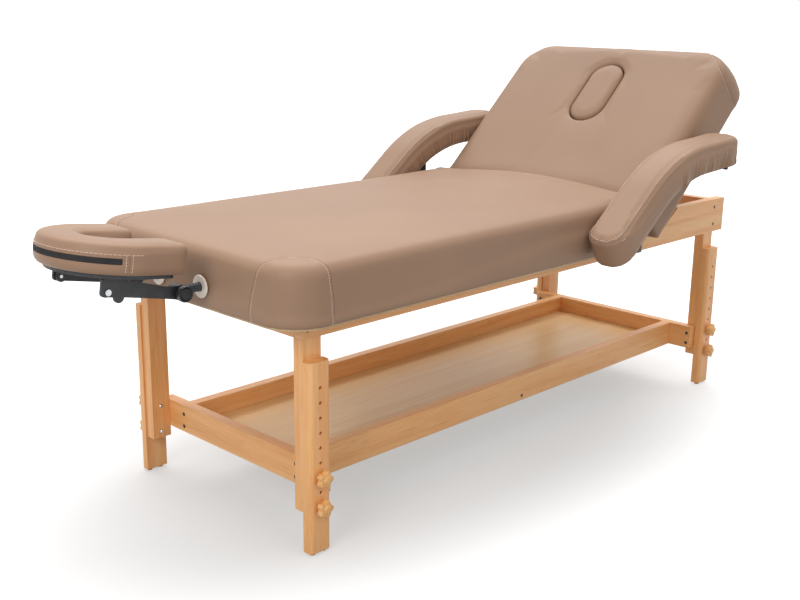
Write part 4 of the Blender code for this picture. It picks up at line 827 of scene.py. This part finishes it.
def buildCradle():
    inset, corner = cradle["shrink"], cradle["corner"]
    half, low, high = cradle["limb"] / 2 - inset, cradle["bottom"], cradle["bottom"] + cradle["depth"] - inset
    outline = roundedOutline([(inset, -half, corner), (limbLength - inset, -half, corner),
                              (limbLength - inset, half, corner), (inset, half, corner)])
    bm = slab(outline, low, high)
    roundTop(bm, high, cradle["edge"], 6)
    floor = [edge for edge in bm.edges if all(abs(vert.co.z - low) < 1e-6 for vert in edge.verts)]
    bmesh.ops.bevel(bm, geom=floor, offset=cradle["floorEdge"], segments=4, profile=0.5, affect="EDGES",
                    material=-1)
    cover = asObject("cradle_cushion_cover", asMesh(bm, "cradle_cushion_cover"))
    remesh(cover, cradle["voxel"])
    relax(cover, 2)
    inflate(cover, lambda place: place.z < low + cradle["held"], cradle)
    relax(cover, 1)
    outer = cradle["limb"] / 2
    panel = cradle["panelAt"]
    rowAt = high - cradle["rowDrop"]
    uprights = [smoothPath([(place, outer, low + cradle["seamFrom"]), (place, outer, rowAt)])
                for place in (panel, limbLength - panel)]
    sew(cover, "cradle_head", uprights, "cradle_cushion", (-0.7, 0.7))
    skin = skinOf(cover)
    past = cradle["rowPast"]
    row = laidOn(skin, smoothPath([(panel - past, outer, rowAt), (limbLength - panel + past, outer, rowAt)]))
    rowPiece = tube("cradle_row_stitches", stitchLines(skin, row, 0.0), seamLook["threadRadius"])
    finishPiece(rowPiece, stock["stitchThread"], "cradle_head")
    zipHeight, gap = low + cradle["zipAt"], cradle["zipGap"]
    zipEnds = [(place, outer, zipHeight) for place in (panel + gap, limbLength - panel - gap)]
    zipLine = laidOn(skin, smoothPath(zipEnds))
    tape = bmesh.new()
    rows = []
    for rise in (-cradle["zipHalf"], cradle["zipHalf"]):
        rows.append([tape.verts.new((place.x, place.y + cradle["zipProud"], place.z + rise))
                     for place in zipLine])
    for index in range(len(zipLine) - 1):
        tape.faces.new((rows[0][index], rows[0][index + 1], rows[1][index + 1], rows[1][index]))
    # the new faces have no normals yet, so this only doubles them in place and the tape stays flat
    bmesh.ops.solidify(tape, geom=tape.faces[:], thickness=cradle["zipThick"])
    zipPiece = asObject("cradle_zip_tape", asMesh(tape, "cradle_zip_tape"))
    pieces = [cover, zipPiece, rowPiece, bpy.data.objects["cradle_cushion_seam"],
              bpy.data.objects["cradle_cushion_stitches"]]
    for piece in pieces:
        for vert in piece.data.vertices:
            vert.co = horseshoe(*vert.co)
        piece.data.transform(cradlePlace)
        piece.data.update()
    finishPiece(cover, vinyl, "cradle_head")
    finishPiece(zipPiece, stock["zipTape"], "cradle_head", smooth=False)
    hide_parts("cradle_cushion")
    print("cradle cushion:", len(cover.data.polygons), "faces")


buildCradle()

# screws, bolt heads, feet and stops; each kind has its body, finish, radius and height
# rail screws: black discs level with the rail faces over the sunk screws; their black paints the shade inside
# the screw holes
hardware = {"rail_screw_shade_discs": ("frame", "powderCoat", 0.0050, 0.0008),
            "shelf_bolts": ("frame", "powderCoat", 0.0052, 0.0012),
            "stud_heads": ("frame", "zincPlate", 0.0055, 0.0022)}
fixings = {"railFace": 0.3065, "railScrews": ((1.688, 0.515), (1.688, 0.568), (0.017, 0.510)),
           "trayFace": 0.2290, "trayScrew": (0.8537, 0.1352), "boltHeights": (0.1365, 0.1685),
           "crossBolts": ((0.0553, -1), (1.6387, 1)), "crossAside": 0.215,
           "postBolts": ((0.0833, 1), (1.6107, -1)), "postAside": 0.2895, "postLift": 0.002,
           "studs": (0.0295, 1.6645), "studHeights": (0.1808, 0.1124), "studFace": 0.2747}


def hardwarePlaces():  # where each head sits and the way it faces
    places = {name: [] for name in hardware}
    for sign in (-1, 1):
        for x, z in fixings["railScrews"]:
            places["rail_screw_shade_discs"].append(((x - originX, sign * fixings["railFace"], z), (0, sign, 0)))
        x, z = fixings["trayScrew"]
        places["rail_screw_shade_discs"].append(((x - originX, sign * fixings["trayFace"], z), (0, sign, 0)))
        for z in fixings["boltHeights"]:
            for x, way in fixings["crossBolts"]:
                places["shelf_bolts"].append(((x - originX, sign * fixings["crossAside"], z), (way, 0, 0)))
            for x, way in fixings["postBolts"]:
                place = (x - originX, sign * fixings["postAside"], z + fixings["postLift"])
                places["shelf_bolts"].append((place, (way, 0, 0)))
        for x in fixings["studs"]:
            for z in fixings["studHeights"]:
                places["stud_heads"].append(((x - originX, sign * fixings["studFace"], z), (0, -sign, 0)))
    return places


def buildHardware():
    for name, places in hardwarePlaces().items():
        body, finish, radius, proud = hardware[name]
        bm = bmesh.new()
        for place, facing in places:
            turn = Vector(facing).to_track_quat("Z", "X").to_matrix().to_4x4()
            middle = Vector(place) + Vector(facing) * proud / 2
            bmesh.ops.create_cone(bm, cap_ends=True, segments=20, radius1=radius, radius2=radius * 0.72,
                                  depth=proud, matrix=Matrix.Translation(middle) @ turn)
        finishPiece(asObject(name, asMesh(bm, name)), stock[finish], body, smooth=False)


glideCap = {"radius": 0.0066, "collar": 0.0076, "height": 0.0061, "aside": 0.0155}
armStop = {"fromEnd": 0.035, "aside": 0.462, "radius": 0.0062, "collar": 0.0080, "height": 0.016,
           "drop": 0.007, "edge": 0.001}


def buildFeet():  # dark caps on the glides
    for post in ("foot_near", "foot_far", "head_near", "head_far"):
        low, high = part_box(f"outer_post_{post}")
        middle = (low + high) / 2
        bm = bmesh.new()
        for sign in (-1, 1):
            place = (middle.x + sign * glideCap["aside"], middle.y, low.z + glideCap["height"] / 2)
            bmesh.ops.create_cone(bm, cap_ends=True, segments=24, radius1=glideCap["radius"],
                                  radius2=glideCap["collar"], depth=glideCap["height"],
                                  matrix=Matrix.Translation(place))
        finishPiece(asObject(f"glide_caps_{post}", asMesh(bm, "caps")), stock["glideRubber"], f"leg_{post}")


def buildStops():  # rubber stop under the rear of each armrest
    for side, sign in (("near", -1), ("far", 1)):
        place = armPlace(armLength - armStop["fromEnd"], sign * armStop["aside"], -armrest["half"])
        bm = bmesh.new()
        bmesh.ops.create_cone(bm, cap_ends=True, segments=24, radius1=armStop["radius"],
                              radius2=armStop["collar"], depth=armStop["height"],
                              matrix=Matrix.Translation(place - Vector((0, 0, armStop["drop"]))))
        bmesh.ops.bevel(bm, geom=bm.edges[:], offset=armStop["edge"], segments=2, profile=0.5, affect="EDGES",
                        material=-1)
        stop = asObject(f"armrest_stop_{side}", asMesh(bm, "stop"))
        finishPiece(stop, stock["glideRubber"], f"armrest_{side}")


buildHardware()
buildFeet()
buildStops()
print("hardware set")

# stage and light
# the floor's camera-seen glow is painted brightness, weaker in an ellipse round the table, which sets how far
# the floor's shade shows
stage = {"floor": 40.0, "albedo": "#A0A0A0", "lift": 0.46, "sky": 0.48, "fadeFrom": 0.36, "fadeTo": 0.98,
         "fadeShape": (0.5, 1.0, 0.0)}


def seenDirectly(tree):  # rays from the camera, and those that show the background in metal and glass
    path = addNode(tree, "ShaderNodeLightPath")
    seen = path.outputs["Is Camera Ray"]
    for ray in ("Is Glossy Ray", "Is Transmission Ray"):
        either = addNode(tree, "ShaderNodeMath", {0: seen, 1: path.outputs[ray]}, operation="MAXIMUM")
        seen = either.outputs[0]
    return seen


def buildStage():
    bm = bmesh.new()
    bmesh.ops.create_grid(bm, x_segments=1, y_segments=1, size=stage["floor"])
    floor = asObject("floor", asMesh(bm, "floor"))
    finish = bpy.data.materials.new("paleFloor")
    finish.use_nodes = True
    tree = finish.node_tree
    tree.nodes.clear()
    place = addNode(tree, "ShaderNodeTexCoord").outputs["Object"]
    shaped = addNode(tree, "ShaderNodeVectorMath", {0: place, 1: stage["fadeShape"]}, operation="MULTIPLY")
    away = addNode(tree, "ShaderNodeVectorMath", {0: shaped.outputs[0]}, operation="LENGTH")
    fade = addNode(tree, "ShaderNodeMapRange", {"Value": away.outputs["Value"], "From Min": stage["fadeFrom"],
                                                "From Max": stage["fadeTo"], "To Min": stage["lift"]},
                   interpolation_type="SMOOTHSTEP")  # glows white for the camera away from the table, a painted brightness; nearer the table the glow is weaker and the lamp-lit shade shows
    lift = addNode(tree, "ShaderNodeMath", {0: seenDirectly(tree), 1: fade.outputs[0]}, operation="MULTIPLY")
    glow = addNode(tree, "ShaderNodeEmission", {"Strength": lift.outputs[0]})
    paint = addNode(tree, "ShaderNodeBsdfDiffuse", {"Color": linear(stage["albedo"])})
    both = addNode(tree, "ShaderNodeAddShader", {0: paint.outputs[0], 1: glow.outputs[0]})
    addNode(tree, "ShaderNodeOutputMaterial", {"Surface": both.outputs[0]})
    floor.data.materials.append(finish)


def buildSky():
    world = bpy.data.worlds.new("softSky")
    world.use_nodes = True
    tree = world.node_tree
    tree.nodes.clear()
    light = addNode(tree, "ShaderNodeBackground", {"Color": linear("#FFFDFA"), "Strength": stage["sky"]})
    white = addNode(tree, "ShaderNodeBackground", {"Color": (1, 1, 1, 1), "Strength": 1.0})
    both = addNode(tree, "ShaderNodeMixShader",
                   {0: seenDirectly(tree), 1: light.outputs[0], 2: white.outputs[0]})
    addNode(tree, "ShaderNodeOutputWorld", {"Surface": both.outputs[0]})
    scene.world = world


lamps = {"overhead": {"kind": "SUN", "place": (0.9, 1.1, 3.4), "aim": (0, 0, 0), "power": 2.65,
                      "angle": 1.1},
         "left": {"kind": "AREA", "place": (-3.5, -1.3, 2.4), "aim": (-0.3, 0, 0.4), "power": 52,
                  "size": 1.6},
         "near": {"kind": "AREA", "place": (-0.5, -3.0, 2.1), "aim": (0.1, 0, 0.3), "power": 10,
                  "size": 2.0}}


def hangLamps():
    for name, lamp in lamps.items():
        light = bpy.data.lights.new(name, lamp["kind"])
        light.energy = lamp["power"]
        if lamp["kind"] == "SUN":
            light.angle = lamp["angle"]
        else:
            light.size = lamp["size"]
        holder = asObject(name, light)
        holder.location = lamp["place"]
        aim = Vector(lamp["aim"]) - Vector(lamp["place"])
        holder.rotation_euler = aim.to_track_quat("-Z", "Y").to_euler()


buildStage()
buildSky()
hangLamps()
scene.view_settings.view_transform = "Standard"
print("stage and lamps set")
